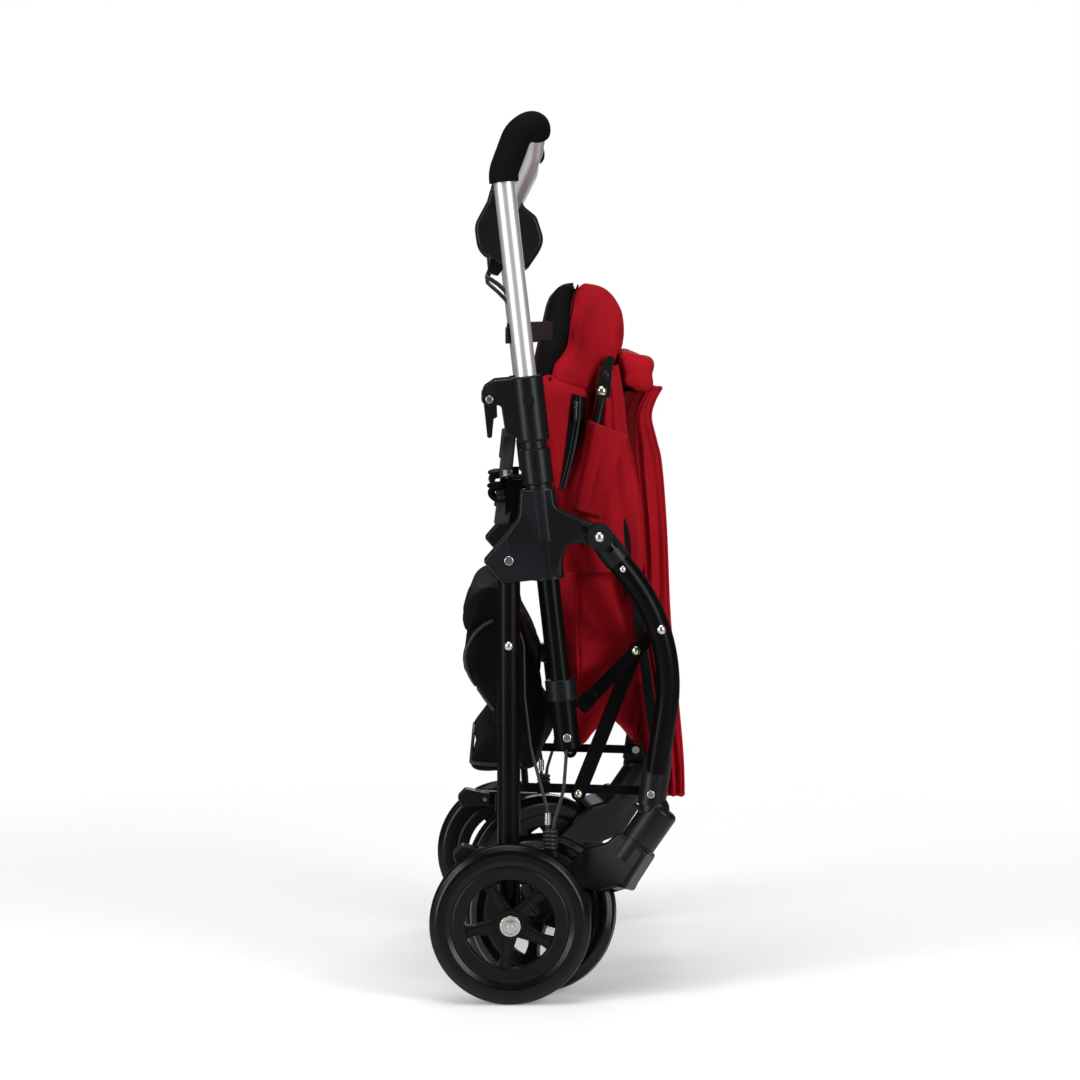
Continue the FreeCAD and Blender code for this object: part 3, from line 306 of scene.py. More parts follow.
sheath = Finish("cable_sheath")
skin = sheath.grain(300, detail=3)
sheath.shade(Base_Color=sheath.blend(skin, (0.005, 0.005, 0.0055), (0.013, 0.013, 0.014)))
sheath.shade(Roughness=0.36 + skin * 0.2)
sheath.shade(Normal=sheath.bump(skin, 0.00006, 0.3))
dress(sheath, "handle_cables", "brake_cables", "brake_boots")

# ---- backrest -----------------------------------------------------------------------------------
# A foam-filled back panel: black polyester behind, red wings and front, and below them a red side
# with a black zip panel. It is sewn inside out and turned, so every seam is a soft groove.
def from_low(node, points):
    """Points of the XZ plane, given in millimetres from a node's lowest rear corner."""
    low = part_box(node)[0]
    return [Vector((low.x + x / 1000, low.z + z / 1000)) for x, z in points]


def rounded(points, steps=6, closed=True):
    """Smooth line through the points."""
    count = len(points)
    line = []
    for i in range(count if closed else count - 1):
        if closed:
            a, b, c, d = (points[(i + k) % count] for k in (-1, 0, 1, 2))
        else:
            a, b, c, d = (points[max(0, min(count - 1, i + k))] for k in (-1, 0, 1, 2))
        for step in range(steps):
            t = step / steps
            line.append(0.5 * (2 * b + (c - a) * t + (2 * a - 5 * b + 4 * c - d) * t * t
                               + (3 * b - a - 3 * c + d) * t ** 3))
    if not closed:
        line.append(points[-1].copy())
    return line


def new_piece(name, points, faces, finish):
    """A smooth-shaded mesh piece."""
    mesh = bpy.data.meshes.new(name)
    mesh.from_pydata([tuple(p) for p in points], [], faces)
    mesh.validate()
    mesh.materials.append(finish.material)
    mesh.polygons.foreach_set("use_smooth", [True] * len(mesh.polygons))
    piece = bpy.data.objects.new(name, mesh)
    scene.collection.objects.link(piece)
    return piece


def block(name, outline, half, edge, finish, arcs=4):
    """Closed block: an XZ outline drawn across from -half to half, with its rim rounded by edge."""
    line = rounded(outline)
    count = len(line)
    inward = []
    for i in range(count):
        along = (line[(i + 1) % count] - line[i - 1]).normalized()
        inward.append(Vector((-along.y, along.x)))
    area = sum(line[i - 1].x * line[i].y - line[i].x * line[i - 1].y for i in range(count))
    turn = 1 if area > 0 else -1
    sections = []
    for k in range(arcs, -1, -1):
        a = math.pi / 2 * k / arcs
        sections.append((-half + edge * (1 - math.sin(a)), edge * (1 - math.cos(a))))
    sections += [(-y, inset) for y, inset in reversed(sections)]
    points = []
    for y, inset in sections:
        for p, n in zip(line, inward):
            q = p + n * (turn * inset)
            points.append((q.x, y, q.y))
    faces = []
    for k in range(len(sections) - 1):
        for i in range(count):
            j = (i + 1) % count
            faces.append((k * count + i, k * count + j, (k + 1) * count + j, (k + 1) * count + i))
    faces.append(tuple(reversed(range(count))))
    faces.append(tuple(range((len(sections) - 1) * count, len(sections) * count)))
    return new_piece(name, points, faces, finish)


def settle(piece):
    """Applies a piece's modifiers to its mesh."""
    graph = bpy.context.evaluated_depsgraph_get()
    mesh = bpy.data.meshes.new_from_object(piece.evaluated_get(graph))
    piece.modifiers.clear()
    piece.data = mesh
    mesh.polygons.foreach_set("use_smooth", [True] * len(mesh.polygons))


CLOTH_STIFFNESS = 12.0
CLOTH_FRAMES = 20


def plump(piece, cell, pressure, most, slack):
    """Remeshes a block into even cloth and blows it up, moving no point further than most."""
    remesh = piece.modifiers.new("remesh", "REMESH")
    remesh.mode = "VOXEL"
    remesh.voxel_size = cell
    settle(piece)
    rest = [v.co.copy() for v in piece.data.vertices]
    cloth = piece.modifiers.new("cloth", "CLOTH")
    cloth.settings.quality = 4
    cloth.settings.mass = 0.25
    cloth.settings.tension_stiffness = CLOTH_STIFFNESS
    cloth.settings.compression_stiffness = CLOTH_STIFFNESS
    cloth.settings.shear_stiffness = CLOTH_STIFFNESS / 3
    cloth.settings.bending_stiffness = 0.3
    cloth.settings.use_pressure = True
    cloth.settings.uniform_pressure_force = pressure
    cloth.settings.shrink_min = -slack
    cloth.settings.effector_weights.gravity = 0.0
    cloth.point_cache.frame_end = CLOTH_FRAMES
    for step in range(1, CLOTH_FRAMES + 1):
        scene.frame_set(step)
    settle(piece)
    for v, was in zip(piece.data.vertices, rest):
        moved = v.co - was
        if moved.length > most:
            v.co = was + moved * (most / moved.length)
    scene.frame_set(1)
    smooth = piece.modifiers.new("smooth", "SMOOTH")
    smooth.factor = 0.5
    smooth.iterations = 2
    piece.modifiers.new("fine", "SUBSURF").levels = 1
    settle(piece)


def shape_points(piece, move):
    """Moves every vertex by move(point)."""
    for v in piece.data.vertices:
        v.co = v.co + move(v.co)
    piece.data.update()


def ease(value, low, high):
    """Smooth step from 0 at low to 1 at high."""
    t = max(0.0, min(1.0, (value - low) / (high - low)))
    return t * t * (3 - 2 * t)


def cloth_finish(name, lit, deep, pitch=0.0017):
    """Plain-woven polyester: crossing threads, a slightly uneven dye and soft creases."""
    cloth = Finish(name)
    x = cloth.node("SeparateXYZ", {}, {0: cloth.place}, output="X")
    y = cloth.node("SeparateXYZ", {}, {0: cloth.place}, output="Y")
    z = cloth.node("SeparateXYZ", {}, {0: cloth.place}, output="Z")
    weave = (x + y).wave(pitch) * z.wave(pitch) * 0.5 + 0.5
    dye = cloth.grain(16, detail=5)
    slub = cloth.grain(420, detail=2, stretch=(1, 1, 0.12))
    crease = cloth.grain(46, detail=3, roughness=0.5)
    shade = dye.above(0.3, 0.75) * 0.7 + slub * 0.2 + weave * 0.1
    cloth.shade(Base_Color=cloth.blend(shade, deep, lit))
    cloth.shade(Roughness=0.74 + weave * 0.14, Specular_IOR_Level=0.1)
    threads = cloth.bump(weave * 0.6 + slub * 0.4, 0.00025, 0.5)
    cloth.shade(Normal=cloth.node("Bump", {}, {"Height": crease, "Distance": 0.0022, "Strength": 0.35,
                                               "Normal": threads}))
    return cloth


red = cloth_finish("red_polyester", (0.40, 0.0052, 0.013), (0.28, 0.0034, 0.0085))
black_cloth = cloth_finish("black_polyester", (0.0038, 0.0039, 0.0047), (0.0016, 0.0016, 0.0019))
tape_cloth = cloth_finish("black_lining", (0.0025, 0.0025, 0.0028), (0.0014, 0.0014, 0.0016), 0.0022)

BACK_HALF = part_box("backrest")[1].y
PAD_EDGE = 0.011
back_pad_line = from_low("backrest", (
    (43, 229), (31, 227), (22, 221), (17, 210), (13, 193), (8, 170), (3, 148), (0.5, 130), (0, 108),
    (0.5, 88), (3, 68), (9, 44), (16, 18), (21, 1), (28, 1), (24, 28), (18, 58), (14, 88), (13, 116),
    (18, 138), (26, 156), (33, 180), (37, 203), (42, 224),
))
wing_line = from_low("backrest", (
    (44, 228), (55, 227.5), (66, 225), (76, 217.5), (82.5, 209), (87, 200), (89, 190), (88.5, 178),
    (86.5, 164), (84, 152), (80, 142), (73, 133), (66, 124), (59, 115), (52, 106), (33, 110.5),
    (15, 115), (10.5, 120), (15, 136), (24, 154), (30.5, 177), (35, 201),
))
lower_line = from_low("backrest", (
    (3, 124), (18, 121), (38, 118), (53, 112), (52, 88), (48, 63), (41, 33), (33, 10), (28, -8),
    (17, -8), (10, 10), (6, 38), (2, 63), (0, 88),
))


def shoulder(p):
    """The panel's top corners are round when seen from behind."""
    return Vector((0, -0.16 * p.y * ease(p.z, 0.69, 0.785) ** 2, 0))


back_pad = block("back_panel_rear", back_pad_line, BACK_HALF - 0.003, PAD_EDGE, black_cloth)
wings = block("back_panel_wings", wing_line, BACK_HALF - 0.002, PAD_EDGE * 0.7, red)
lower_side = block("back_panel_lower", lower_line, BACK_HALF - 0.0025, PAD_EDGE * 0.6, red)
for panel, air, spare in ((back_pad, 3.0, 0.01), (wings, 2.4, 0.025), (lower_side, 1.6, 0.04)):
    plump(panel, 0.0055, air, 0.006, spare)
    shape_points(panel, shoulder)
    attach(panel, "back")
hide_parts("backrest")

# ---- back panel trims ---------------------------------------------------------------------------
# Piping along the wing's seam, a stitched hem under the wing, and the zip panel with its coil,
# slider and pull on each side.
def bar_along(name, line, radius, finish, sides=8):
    """A round cord, piping or thread along a line of points."""
    points = []
    faces = []
    normal = Vector((0.31, 0.92, 0.23))
    for i, p in enumerate(line):
        along = (line[min(i + 1, len(line) - 1)] - line[max(i - 1, 0)]).normalized()
        normal = (normal - along * normal.dot(along)).normalized()
        across = along.cross(normal)
        for k in range(sides):
            a = 2 * math.pi * k / sides
            points.append(p + (normal * math.cos(a) + across * math.sin(a)) * radius)
    for i in range(len(line) - 1):
        for k in range(sides):
            j = (k + 1) % sides
            faces.append((i * sides + k, i * sides + j, (i + 1) * sides + j, (i + 1) * sides + k))
    faces.append(tuple(reversed(range(sides))))
    faces.append(tuple(range((len(line) - 1) * sides, len(line) * sides)))
    return new_piece(name, points, faces, finish)


def walk(line, pitch):
    """Points and headings every pitch along a line."""
    spots = []
    left = pitch / 2
    for a, b in zip(line, line[1:]):
        run = (b - a).length
        while left <= run and run > 0:
            spots.append((a.lerp(b, left / run), (b - a).normalized()))
            left += pitch
        left -= run
    return spots


def stitches(name, line, face, finish, pitch=0.0036, long=0.0025, thick=0.00035):
    """A row of thread stitches lying on the side that face points out of."""
    points = []
    faces = []
    for spot, along in walk(line, pitch):
        across = along.cross(face).normalized()
        start = len(points)
        for end, size in ((-0.5, 0.3), (-0.25, 1.0), (0.25, 1.0), (0.5, 0.3)):
            centre = spot + along * (end * long)
            for c, s in ((1, 0), (0, 1), (-1, 0), (0, -1)):
                points.append(centre + (across * c + face * s) * (thick * size))
        for ring in range(3):
            for k in range(4):
                a = start + ring * 4
                faces.append((a + k, a + (k + 1) % 4, a + 4 + (k + 1) % 4, a + 4 + k))
        faces.append((start + 3, start + 2, start + 1, start))
        faces.append((start + 12, start + 13, start + 14, start + 15))
    return new_piece(name, points, faces, finish)


def on_side(line, y):
    """An XZ line put on the plane at y."""
    return [Vector((p.x, y, p.y)) for p in line]


def pull_to(line, piece, side, proud):
    """Lays a line on a piece's side, proud of its surface, as seen square from that side."""
    graph = bpy.context.evaluated_depsgraph_get()
    shown = piece.evaluated_get(graph)
    laid = []
    for p in line:
        hit, place, normal, index = shown.ray_cast(Vector((p.x, side * 0.4, p.z)), Vector((0, -side, 0)))
        laid.append(Vector((p.x, place.y + side * proud, p.z)) if hit else p)
    return laid


def fabric(name, rows, finish, body, thick=0.0012, levels=1):
    """A sheet from rows of points, with the flat size worked out from them."""
    tall, wide = len(rows), len(rows[0])
    faces = [(i * wide + j, i * wide + j + 1, (i + 1) * wide + j + 1, (i + 1) * wide + j)
             for i in range(tall - 1) for j in range(wide - 1)]
    piece = new_piece(name, [p for row in rows for p in row], faces, finish)
    width = max(sum((b - a).length for a, b in zip(row, row[1:])) for row in rows)
    length = max(sum((b[j] - a[j]).length for a, b in zip(rows, rows[1:])) for j in range(wide))
    solid = piece.modifiers.new("thickness", "SOLIDIFY")
    solid.thickness = thick
    solid.offset = 0.0
    piece.modifiers.new("fine", "SUBSURF").levels = levels
    settle(piece)
    if body:
        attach(piece, body)
    return piece


red_thread = Finish("red_thread")
ply = red_thread.grain(2400, detail=1, stretch=(1, 1, 0.3))
red_thread.shade(Base_Color=red_thread.blend(ply, (0.20, 0.004, 0.008), (0.36, 0.010, 0.018)), Roughness=0.6)
black_trim = Finish("black_binding")
rib = black_trim.grain(1500, detail=2)
black_trim.shade(Base_Color=black_trim.blend(rib, (0.006, 0.006, 0.0068), (0.015, 0.0152, 0.017)))
black_trim.shade(Roughness=0.5 + rib * 0.15, Normal=black_trim.bump(rib, 0.0002, 0.5))
coil_black = Finish("zip_coil")
teeth = coil_black.grain(900)
coil_black.shade(Base_Color=coil_black.blend(teeth, (0.010, 0.010, 0.011), (0.035, 0.035, 0.037)))
coil_black.shade(Roughness=0.25 + coil_black.grain(700) * 0.15)

SIDES = (("right", -1), ("left", 1))
seam_line = rounded(from_low("backrest", (
    (41, 226), (36, 203), (32, 183), (24, 156), (15, 138), (10, 121),
)), 8, closed=False)
wing_hem = rounded(from_low("backrest", (
    (12, 119), (33, 113.5), (52, 109),
)), 8, closed=False)
zip_left = rounded(from_low("backrest", (
    (34, 107), (30, 73), (25, 33), (20.5, 1),
)), 8, closed=False)
zip_right = rounded(from_low("backrest", (
    (51, 102.5), (48, 73), (38, 38), (22.5, -1),
)), 8, closed=False)
zip_run = rounded(from_low("backrest", (
    (39, 103), (37, 73), (31, 38), (21.5, 1),
)), 10, closed=False)
for name, side in SIDES:
    outward = Vector((0, side, 0))
    edge = pull_to(on_side(seam_line, side * BACK_HALF), wings, side, 0.0004)
    piping = bar_along("wing_piping_" + name, edge, 0.0011, black_cloth)
    hem = pull_to(on_side(wing_hem, side * BACK_HALF), wings, side, 0.0002)
    hem_row = stitches("wing_hem_stitches_" + name, hem, outward, red_thread)
    rows = []
    for k in range(len(zip_left)):
        a, b = zip_left[k], zip_right[k]
        rows.append([Vector((a.x + (b.x - a.x) * t, side * (BACK_HALF + 0.0012), a.y + (b.y - a.y) * t))
                     for t in (0, 0.25, 0.5, 0.75, 1)])
    rows = [pull_to(row, lower_side, side, 0.0009) for row in rows]
    tape = fabric("zip_tape_" + name, rows, tape_cloth, "back")
    track = pull_to(on_side(zip_run, side * BACK_HALF), tape, side, 0.0008)
    coil = stitches("zip_coil_" + name, track, outward, coil_black, 0.0021, 0.0016, 0.0016)
    lip = bar_along("zip_lip_" + name, [p + Vector((0.0042, 0, 0.0006)) for p in track], 0.0016, black_trim)
    spot, heading = walk(track, 0.017)[0]
    slider = bar_along("zip_slider_" + name, [spot + heading * t for t in (-0.004, -0.002, 0.002, 0.004)],
                       0.0032, coil_black, 6)
    hung = [spot + outward * 0.003 + heading * t for t in (0.002, 0.006, 0.014, 0.019)]
    pull = bar_along("zip_pull_" + name, hung, 0.0024, coil_black, 6)
    for trim in (piping, hem_row, coil, lip, slider, pull):
        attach(trim, "back")

# ---- side flaps and side cloth ------------------------------------------------------------------
# A double-stitched red flap on each side, sewn to the zip panel along its rear edge and bowed
# outwards, and behind it the seat unit's side cloth, which hangs in soft upright folds.
flap_rear = from_low("side_flaps", (
    (16.4, 107.9), (0, 9.9),
))
flap_front = from_low("side_flaps", (
    (58.2, 91.9), (32.3, 0.2),
))
FLAP_ROOT_Y = BACK_HALF + 0.002
FLAP_CREASE = 0.0022
THREAD_PROUD = 0.0011
FLAP_FREE_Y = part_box("side_flaps")[1].y - 0.001
for name, side in SIDES:
    rows = []
    for i in range(17):
        v = i / 16
        row = []
        for j in range(15):
            u = j / 14
            top = flap_rear[0].lerp(flap_front[0], u)
            foot = flap_rear[1].lerp(flap_front[1], u)
            p = top.lerp(foot, v)
            bow = FLAP_ROOT_Y + (FLAP_FREE_Y - FLAP_ROOT_Y) * math.sin(min(1.0, u / 0.2) * math.pi / 2)
            bow += FLAP_CREASE * math.sin(math.pi * v) * u
            bow -= FLAP_CREASE * (1 - abs(2 * v - 1)) * math.exp(-((u - 0.52) / 0.05) ** 2)
            row.append(Vector((p.x + 0.0012 * math.sin(5 * v + 2 * u), side * bow, p.y)))
        rows.append(row)
    flap = fabric("side_flap_" + name, rows, red, "back", 0.0016)
    outward = Vector((0, side, 0))
    seams = []
    for inset in (0.04, 0.085):
        top = [rows[0][j].lerp(rows[16][j], inset * 0.6) for j in range(15)]
        free = [rows[i][14].lerp(rows[i][0], inset) for i in range(17)]
        foot = [rows[16][j].lerp(rows[0][j], inset * 0.6) for j in range(14, -1, -1)]
        seams += [top, free, foot]
    seams.append([rows[i][7] for i in range(17)])
    for k, line in enumerate(seams):
        laid = [p + outward * THREAD_PROUD for p in line]
        row = stitches("flap_stitches_" + name + "_" + str(k), laid, outward, red_thread)
        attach(row, "back")
    hem = bar_along("flap_edge_" + name, [r[14] for r in rows], 0.0013, red)
    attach(hem, "back")
    if side < 0:
        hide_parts("side_flaps")

side_rear = rounded(from_low("backrest", (
    (58, 136), (60, 104), (52, 66), (38, 33), (21, -4), (22, -60), (28, -90),
)), 5, closed=False)
side_front = rounded(from_low("backrest", (
    (84, 138), (90, 104), (94, 66), (101, 33), (108, -7), (113, -60), (111, -90),
)), 5, closed=False)
OVER_BOW_Y = 0.1695
for name, side in SIDES:
    rows = []
    for k, (a, b) in enumerate(zip(side_rear, side_front)):
        v = k / (len(side_rear) - 1)
        row = []
        for j in range(25):
            u = j / 24
            p = a.lerp(b, u)
            over = ease(u, 0.05, 0.4) * ease(v, -0.12, 0.06)
            y = (BACK_HALF - 0.002) + (OVER_BOW_Y - BACK_HALF) * over
            y += 0.0026 * math.sin(9 * u + 5 * v) * v + 0.0012 * math.sin(23 * u - 9 * v)
            y -= 0.006 * u ** 6
            row.append(Vector((p.x, side * y, p.y)))
        rows.append(row)
    side_cloth = fabric("side_cloth_" + name, rows, red, "back", 0.0014)
    outward = Vector((0, side, 0))
    binding = bar_along("side_cloth_edge_" + name, [r[24] for r in rows], 0.0013, red)
    laid = [r[22] + outward * THREAD_PROUD for r in rows]
    seam_row = stitches("side_cloth_stitches_" + name, laid, outward, red_thread)
    cross = [rows[int(len(rows) * 0.62) - j // 3][j] + outward * THREAD_PROUD for j in range(2, 24)]
    cross_row = stitches("side_cloth_seam_" + name, cross, outward, red_thread)
    for trim in (binding, seam_row, cross_row):
        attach(trim, "back")

# ---- folded canopy ------------------------------------------------------------------------------
# The canopy's red cloth is rolled over the bow's hinge at the top and hangs down in front as one
# long sheet with a turned side on each edge. Its inner layer is the same red, painted darker as shade.
bundle_line = from_low("canopy_bundle", (
    (4.2, 45.1), (14.2, 44.1), (27.2, 40.1), (37.2, 31.1), (38.2, 19.1), (35.2, 9.1), (26.2, 3.1),
    (18.2, -0.9), (11.2, 5.1), (5.2, 15.1), (0.7, 27.1), (0.2, 38.1),
))
BUNDLE_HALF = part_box("canopy_bundle")[1].y
bundle = block("canopy_roll", bundle_line, BUNDLE_HALF - 0.004, 0.010, red)
plump(bundle, 0.005, 1.2, 0.008, 0.09)


def tucks(p):
    """Lengthwise tucks of the rolled cloth, deeper towards its front."""
    a = math.atan2(p.z - 0.680, p.x - 0.084)
    depth = 0.0022 * math.sin(4 * a + 1.2 * math.sin(9 * p.y)) + 0.0012 * math.sin(60 * p.y + 3 * a)
    return Vector((math.cos(a), 0, math.sin(a))) * depth


shape_points(bundle, tucks)
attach(bundle, "back")
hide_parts("canopy_bundle")

DRAPE_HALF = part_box("canopy_drape")[1].y
drape_front = rounded(from_low("canopy_drape", (
    (35.5, 452.4), (27.5, 437.4), (23.5, 419.4), (29.5, 393.4), (35, 367.4), (40.5, 297.4), (45, 197.4),
    (53.5, 111.4), (59.5, 45.4), (61, 1.4),
)), 6, closed=False)
drape_back = rounded(from_low("canopy_drape", (
    (21.5, 449.4), (13.5, 435.4), (7.5, 417.4), (7.5, 393.4), (8.5, 367.4), (14.5, 297.4), (20.5, 197.4),
    (33.5, 111.4), (40.5, 45.4), (42.5, 3.4),
)), 6, closed=False)


def drape_rows(step_in, reach, folds, billow):
    """Rows from the top edge down. Each runs from one side's rear edge round the front to the other's."""
    rows = []
    for k, (front, back) in enumerate(zip(drape_front, drape_back)):
        v = k / (len(drape_front) - 1)
        half = DRAPE_HALF - step_in - 0.0015
        turned = []
        for j in range(13):
            u = j / 12
            x = back.x - reach + (front.x - 0.006 - back.x + reach) * u
            tuck = folds * (0.3 + 0.7 * v) * math.sin(1.45 * math.pi * u + 0.4 + 0.6 * math.sin(3 * v))
            turned.append((x, half - 0.002 - abs(tuck) - 0.0015 * math.sin(7 * v + 3 * u)))
        corner = [(front.x - 0.0025, half - 0.002), (front.x - 0.0004, half - 0.0055)]
        across = []
        for j in range(1, 40):
            y = (half - 0.0055) * (1 - 2 * j / 40)
            wave = math.cos(2 * math.pi * y / 0.105) + 0.5 * math.sin(47 * y + 5 * v)
            sway = billow * (0.3 + 0.7 * v) * wave
            across.append((front.x - 0.0035 + sway - 0.003 * (y / half) ** 2, y))
        near = [(x, -y) for x, y in turned + corner]
        far = [(x, y) for x, y in reversed(turned + corner)]
        line = near + [(x, -y) for x, y in across] + far
        rows.append([Vector((x - step_in, y, front.y)) for x, y in line])
    return rows


outer_rows = drape_rows(0.0, 0.0, 0.0085, 0.0022)
drape = fabric("canopy_front_sheet", outer_rows, red, None, 0.0014)
inner_rows = drape_rows(0.0055, 0.018, 0.0030, 0.0015)[2:-3]
# Painted shade: the lining uses the outer red darkened to less than half, standing in for the shade inside
# the canopy.
lining_red_painted_shade = cloth_finish("canopy_lining_painted_shade", (0.17, 0.0025, 0.006), (0.11, 0.0016, 0.004))
inner = fabric("canopy_lining", inner_rows, lining_red_painted_shade, None, 0.0010)
trims = []
corner_lines = ([r[14] for r in outer_rows], [r[-15] for r in outer_rows])
for k, line in enumerate(corner_lines):
    laid = [p + Vector((0.0006, 0, 0)) for p in line]
    trims.append(bar_along("canopy_corner_piping_" + str(k), laid, 0.0016, red))
for k, (row, size) in enumerate(((outer_rows[-1], 0.0022), (outer_rows[0], 0.0019))):
    trims.append(bar_along("canopy_hem_" + str(k), row, size, red))
for k, column in enumerate((5, 10, -6, -11)):
    trims.append(bar_along("canopy_side_seam_" + str(k), [r[column] for r in outer_rows], 0.0009, red, 6))
for k, share in enumerate((0.22, 0.5, 0.78)):
    row = outer_rows[int(share * (len(outer_rows) - 1))]
    trims.append(bar_along("canopy_panel_seam_" + str(k), [p + Vector((0.0004, 0, 0)) for p in row[14:-14]],
                           0.0011, red, 6))
for piece in (drape, inner, *trims):
    top = Vector((drape_front[0].x, 0, drape_front[0].y))
    top - Vector((0, 0, 0.16))
    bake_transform(piece)
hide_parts("canopy_drape")

# ---- seat ---------------------------------------------------------------------------------------
# The seat's red cloth is slung between the seat rails. Folded, it hangs as a slack pouch, and its
# sides draw into folds that run to the rivets of the seat rails.
seat_line = from_low("seat_cloth", (
    (8, 270), (20, 271), (32, 268), (44, 237), (52, 212), (64, 172), (74, 142), (79, 102), (79, 62),
    (75, 22), (70, 2), (62, 17), (52, 32), (38, 32), (26, 22), (16, 6), (4, 4), (1, 32), (0.5, 92),
    (0.5, 162), (2, 222),
))
SEAT_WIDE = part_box("seat_cloth")[1].y
seat = block("seat_sling", seat_line, SEAT_WIDE - 0.002, 0.009, red)
plump(seat, 0.006, 0.8, 0.008, 0.05)
rivet_low, rivet_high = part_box("link_rivets")
RIVET = Vector(((rivet_low.x + rivet_high.x) / 2, 0, (rivet_low.z + rivet_high.z) / 2))


def drawn_folds(p):
    """Folds that fan out from the rail's rivet, deepest halfway down the sling's side."""
    away = Vector((p.x - RIVET.x, 0, p.z - RIVET.z))
    a = math.atan2(away.x, -away.z)
    r = away.length
    side = ease(abs(p.y), 0.10, 0.15)
    fan = math.sin(6.5 * a + 1.1) + 0.45 * math.sin(13 * a + 20 * r)
    hang = math.sin(60 * p.x + 14 * p.z) * ease(p.z, 0.36, 0.52)
    depth = 0.0075 * fan * ease(r, 0.01, 0.08) + 0.005 * hang
    front = 0.004 * math.sin(38 * p.y + 3 * math.sin(20 * p.z)) * (1 - side)
    return Vector((front, -math.copysign(1, p.y) * side * (0.009 + depth), 0.4 * front))


shape_points(seat, drawn_folds)
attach(seat, "seat_frame")
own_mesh(seat)
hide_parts("seat_cloth")
edge_line = rounded(from_low("seat_cloth", (
    (6, 262), (7, 202), (7.5, 132), (8, 72), (8, 22), (13, 11),
)), 8, closed=False)
for name, side in SIDES:
    laid = pull_to(on_side(edge_line, side * SEAT_WIDE), seat, side, 0.0003)
    binding = bar_along("seat_binding_" + name, laid, 0.0018, red)
    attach(binding, "seat_frame")
    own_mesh(binding)

# ---- shopping basket ----------------------------------------------------------------------------
# A soft black bag. Folded, its upper flap doubles over at the top, its bound mouth gapes to the
# rear, and its floor hangs in a flat-bottomed corner.
BAG_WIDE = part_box("basket")[1].y
flap_line = from_low("basket", (
    (37.3, 203.8), (26.3, 204.3), (18.3, 197.8), (13.3, 184.8), (9.3, 169.8), (5.3, 159.8), (7.3, 153.8),
    (17.3, 158.8), (29.3, 163.8), (45.3, 168.8), (49.3, 184.8), (45.3, 198.8),
))
bag_line = from_low("basket", (
    (43.3, 190.8), (27.3, 182.8), (15.3, 166.8), (6.3, 150.8), (1.3, 130.8), (0.8, 118.8), (7.3, 99.8),
    (19.3, 79.8), (31.3, 61.8), (38.3, 51.8), (47.3, 44.8), (77.3, 16.8), (85.3, 10.8), (91.3, 34.8),
    (93.3, 69.8), (89.3, 99.8), (77.3, 139.8), (63.3, 169.8), (51.3, 188.8),
))
floor_line = from_low("basket", (
    (41.3, 54.8), (33.3, 42.8), (19.3, 26.8), (9.3, 12.8), (6.3, 5.8), (11.3, 1.8), (37.3, 1.3),
    (67.3, 2.8), (81.3, 6.8), (77.3, 22.8), (59.3, 39.8),
))
bag_top = block("basket_top_flap", flap_line, BAG_WIDE - 0.004, 0.008, black_cloth)
bag = block("basket_bag", bag_line, BAG_WIDE - 0.006, 0.010, black_cloth)
bag_floor = block("basket_floor_corner", floor_line, BAG_WIDE - 0.010, 0.006, black_cloth)


def sag(p):
    """Slack cloth between the two side frames: it droops and crumples away from the ends."""
    slack = 1 - (p.y / BAG_WIDE) ** 2
    crumple = noise.noise(Vector((p.x * 26, p.y * 13, p.z * 22))) * 0.0055
    bulge = 0.006 * slack * math.sin(9 * p.z)
    return Vector((crumple + bulge, crumple * 0.5, -0.008 * slack + crumple * 0.5))


for piece, air, spare in ((bag_top, 1.6, 0.05), (bag, 0.8, 0.07), (bag_floor, 0.6, 0.04)):
    plump(piece, 0.006, air, 0.007, spare)
    shape_points(piece, sag)
    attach(piece, "rear_frame")
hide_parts("basket")
mouth_line = rounded(from_low("basket", (
    (34.3, 165.8), (23.3, 159.8), (12.3, 148.8), (4.8, 133.8), (3.3, 120.8), (9.3, 103.8), (21.3, 84.8),
    (35.3, 66.8),
)), 8, closed=False)
fold_line = rounded(from_low("basket", (
    (9.3, 8.8), (27.3, 7.3), (47.3, 6.8), (65.3, 7.3),
)), 8, closed=False)
for name, side in SIDES:
    for part, line, size, host in (("mouth", mouth_line, 0.0024, bag),
                                   ("floor", fold_line, 0.0020, bag_floor)):
        laid = pull_to(on_side(line, side * BAG_WIDE), host, side, 0.0006)
        binding = bar_along("basket_" + part + "_binding_" + name, laid, size, black_trim)
        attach(binding, "rear_frame")

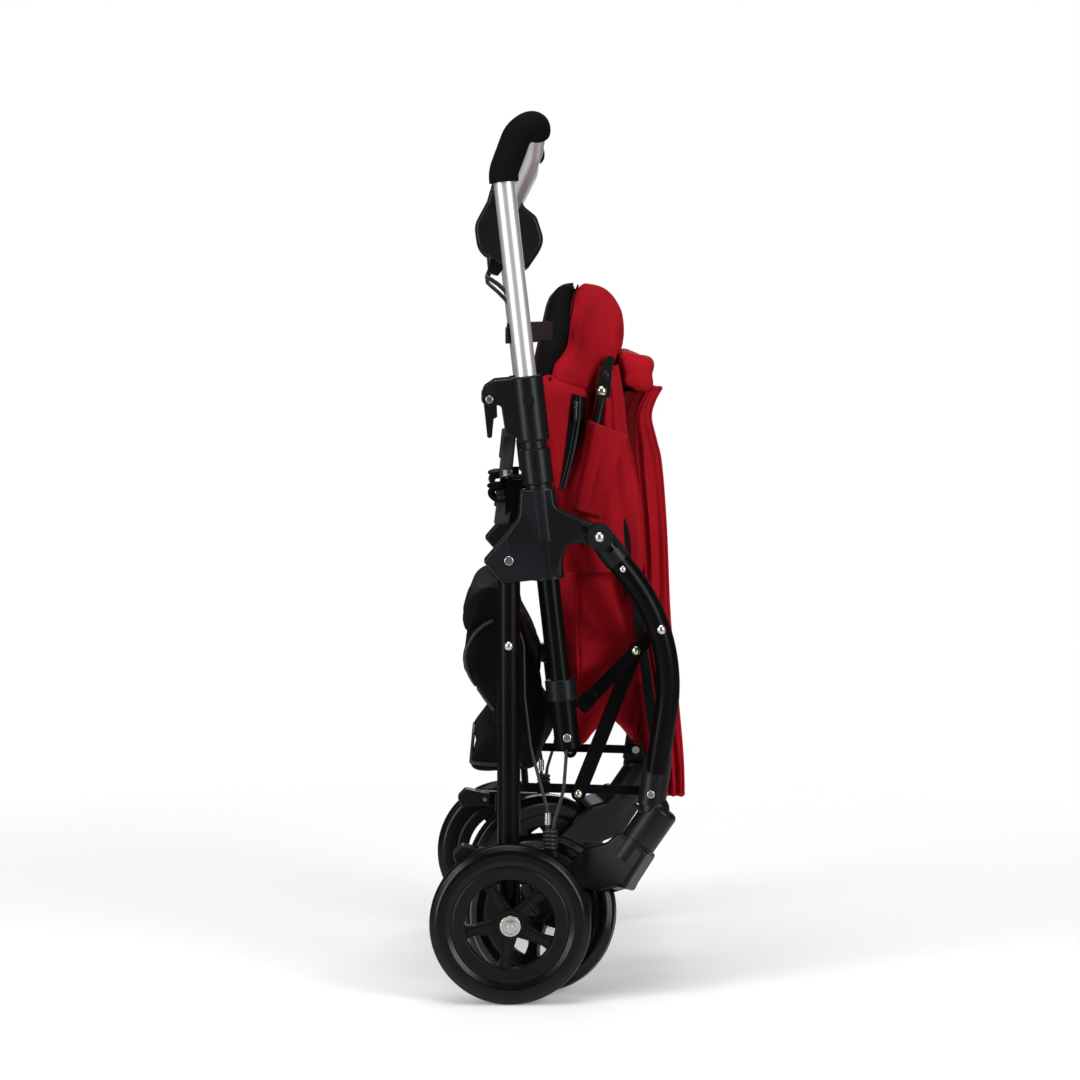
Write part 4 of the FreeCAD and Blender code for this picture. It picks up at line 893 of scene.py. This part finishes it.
# ---- webbing ------------------------------------------------------------------------------------
# Black woven straps: the recline strap looped round each push-bar tube, the strap that hangs behind
# each sleeve, and its slack end wound round the cross brace.
webbing = Finish("webbing")
wx = webbing.node("SeparateXYZ", {}, {0: webbing.place}, output="X")
wz = webbing.node("SeparateXYZ", {}, {0: webbing.place}, output="Z")
ribs = wz.wave(0.0018)
picks = wx.wave(0.0022)
webbing.shade(Base_Color=webbing.blend(webbing.grain(60), (0.004, 0.004, 0.0045), (0.010, 0.010, 0.011)))
webbing.shade(Roughness=0.62, Normal=webbing.bump(ribs * 0.5 + picks * 0.3, 0.0004, 0.5))
strap_low, strap_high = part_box("recline_straps")
TUBE_Y = 0.216
for name, side in SIDES:
    tube = Vector((strap_low.x + 0.0148, side * TUBE_Y, 0))
    round_tube = [tube + Vector((-0.0150 * math.sin(a), -side * 0.0135 * math.cos(a), 0))
                  for a in (1.62, 1.25, 0.85, 0.4, 0.0, -0.35)]
    tail = Vector((strap_high.x - 0.001, side * (BACK_HALF - 0.002), 0))
    path = round_tube + [round_tube[-1].lerp(tail, t) for t in (0.25, 0.5, 0.75, 1.0)]
    rows = [[Vector((p.x, p.y, strap_low.z + (strap_high.z - strap_low.z) * h + 0.05 * (p.x - tube.x)))
             for p in path] for h in (0.02, 0.25, 0.5, 0.75, 0.98)]
    strap = fabric("recline_strap_" + name, rows, webbing, "back", 0.0018)
    if side < 0:
        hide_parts("recline_straps")

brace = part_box("cross_brace")
BRACE = Vector((brace[0].x + 0.008, 0, brace[1].z - 0.020))
# each roll's place from BRACE, half width, half height, turns, and where it starts and ends across
ROLLS = (
    ("outer", Vector((-0.006, 0, 0.000)), 0.0175, 0.0115, 1.25, 0.160, 0.198),
    ("inner", Vector((0.010, 0, -0.006)), 0.0150, 0.0120, 1.15, 0.152, 0.193),
)
STRAP_ENDS = (
    ("upper", -0.063, -0.048, 0.613, 0.576, 0.1945),
    ("lower", -0.069, -0.051, 0.548, 0.517, 0.1975),
)
for name, side in SIDES:
    for part, offset, wide, tall, turns, y0, y1 in ROLLS:
        rows = []
        for i in range(7):
            h = i / 6
            row = []
            for k in range(int(22 * turns)):
                a = 2 * math.pi * k / 22 + 0.6
                grip = 1 - 0.055 * a - 0.12 * (1 - h) + 0.03 * math.sin(3 * a)
                row.append(BRACE + offset + Vector((-math.cos(a) * wide * grip - 0.002 * h,
                                                    side * (y0 + (y1 - y0) * h),
                                                    math.sin(a) * tall * grip + 0.0015 * h)))
            rows.append(row)
        roll = fabric("rolled_strap_" + part + "_" + name, rows, black_cloth, "frame",
                      0.0052)
    for part, x0, x1, z0, z1, y in STRAP_ENDS:
        rows = []
        for i in range(9):
            v = i / 8
            rows.append([Vector((x0 + (x1 - x0) * u - 0.004 * v, side * (y - 0.002 * math.sin(3 * v + 2 * u)),
                                 z0 + (z1 - z0) * v)) for u in (0, 0.25, 0.5, 0.75, 1)])
        end = fabric("strap_end_" + part + "_" + name, rows, webbing, "frame",
                     0.0015)
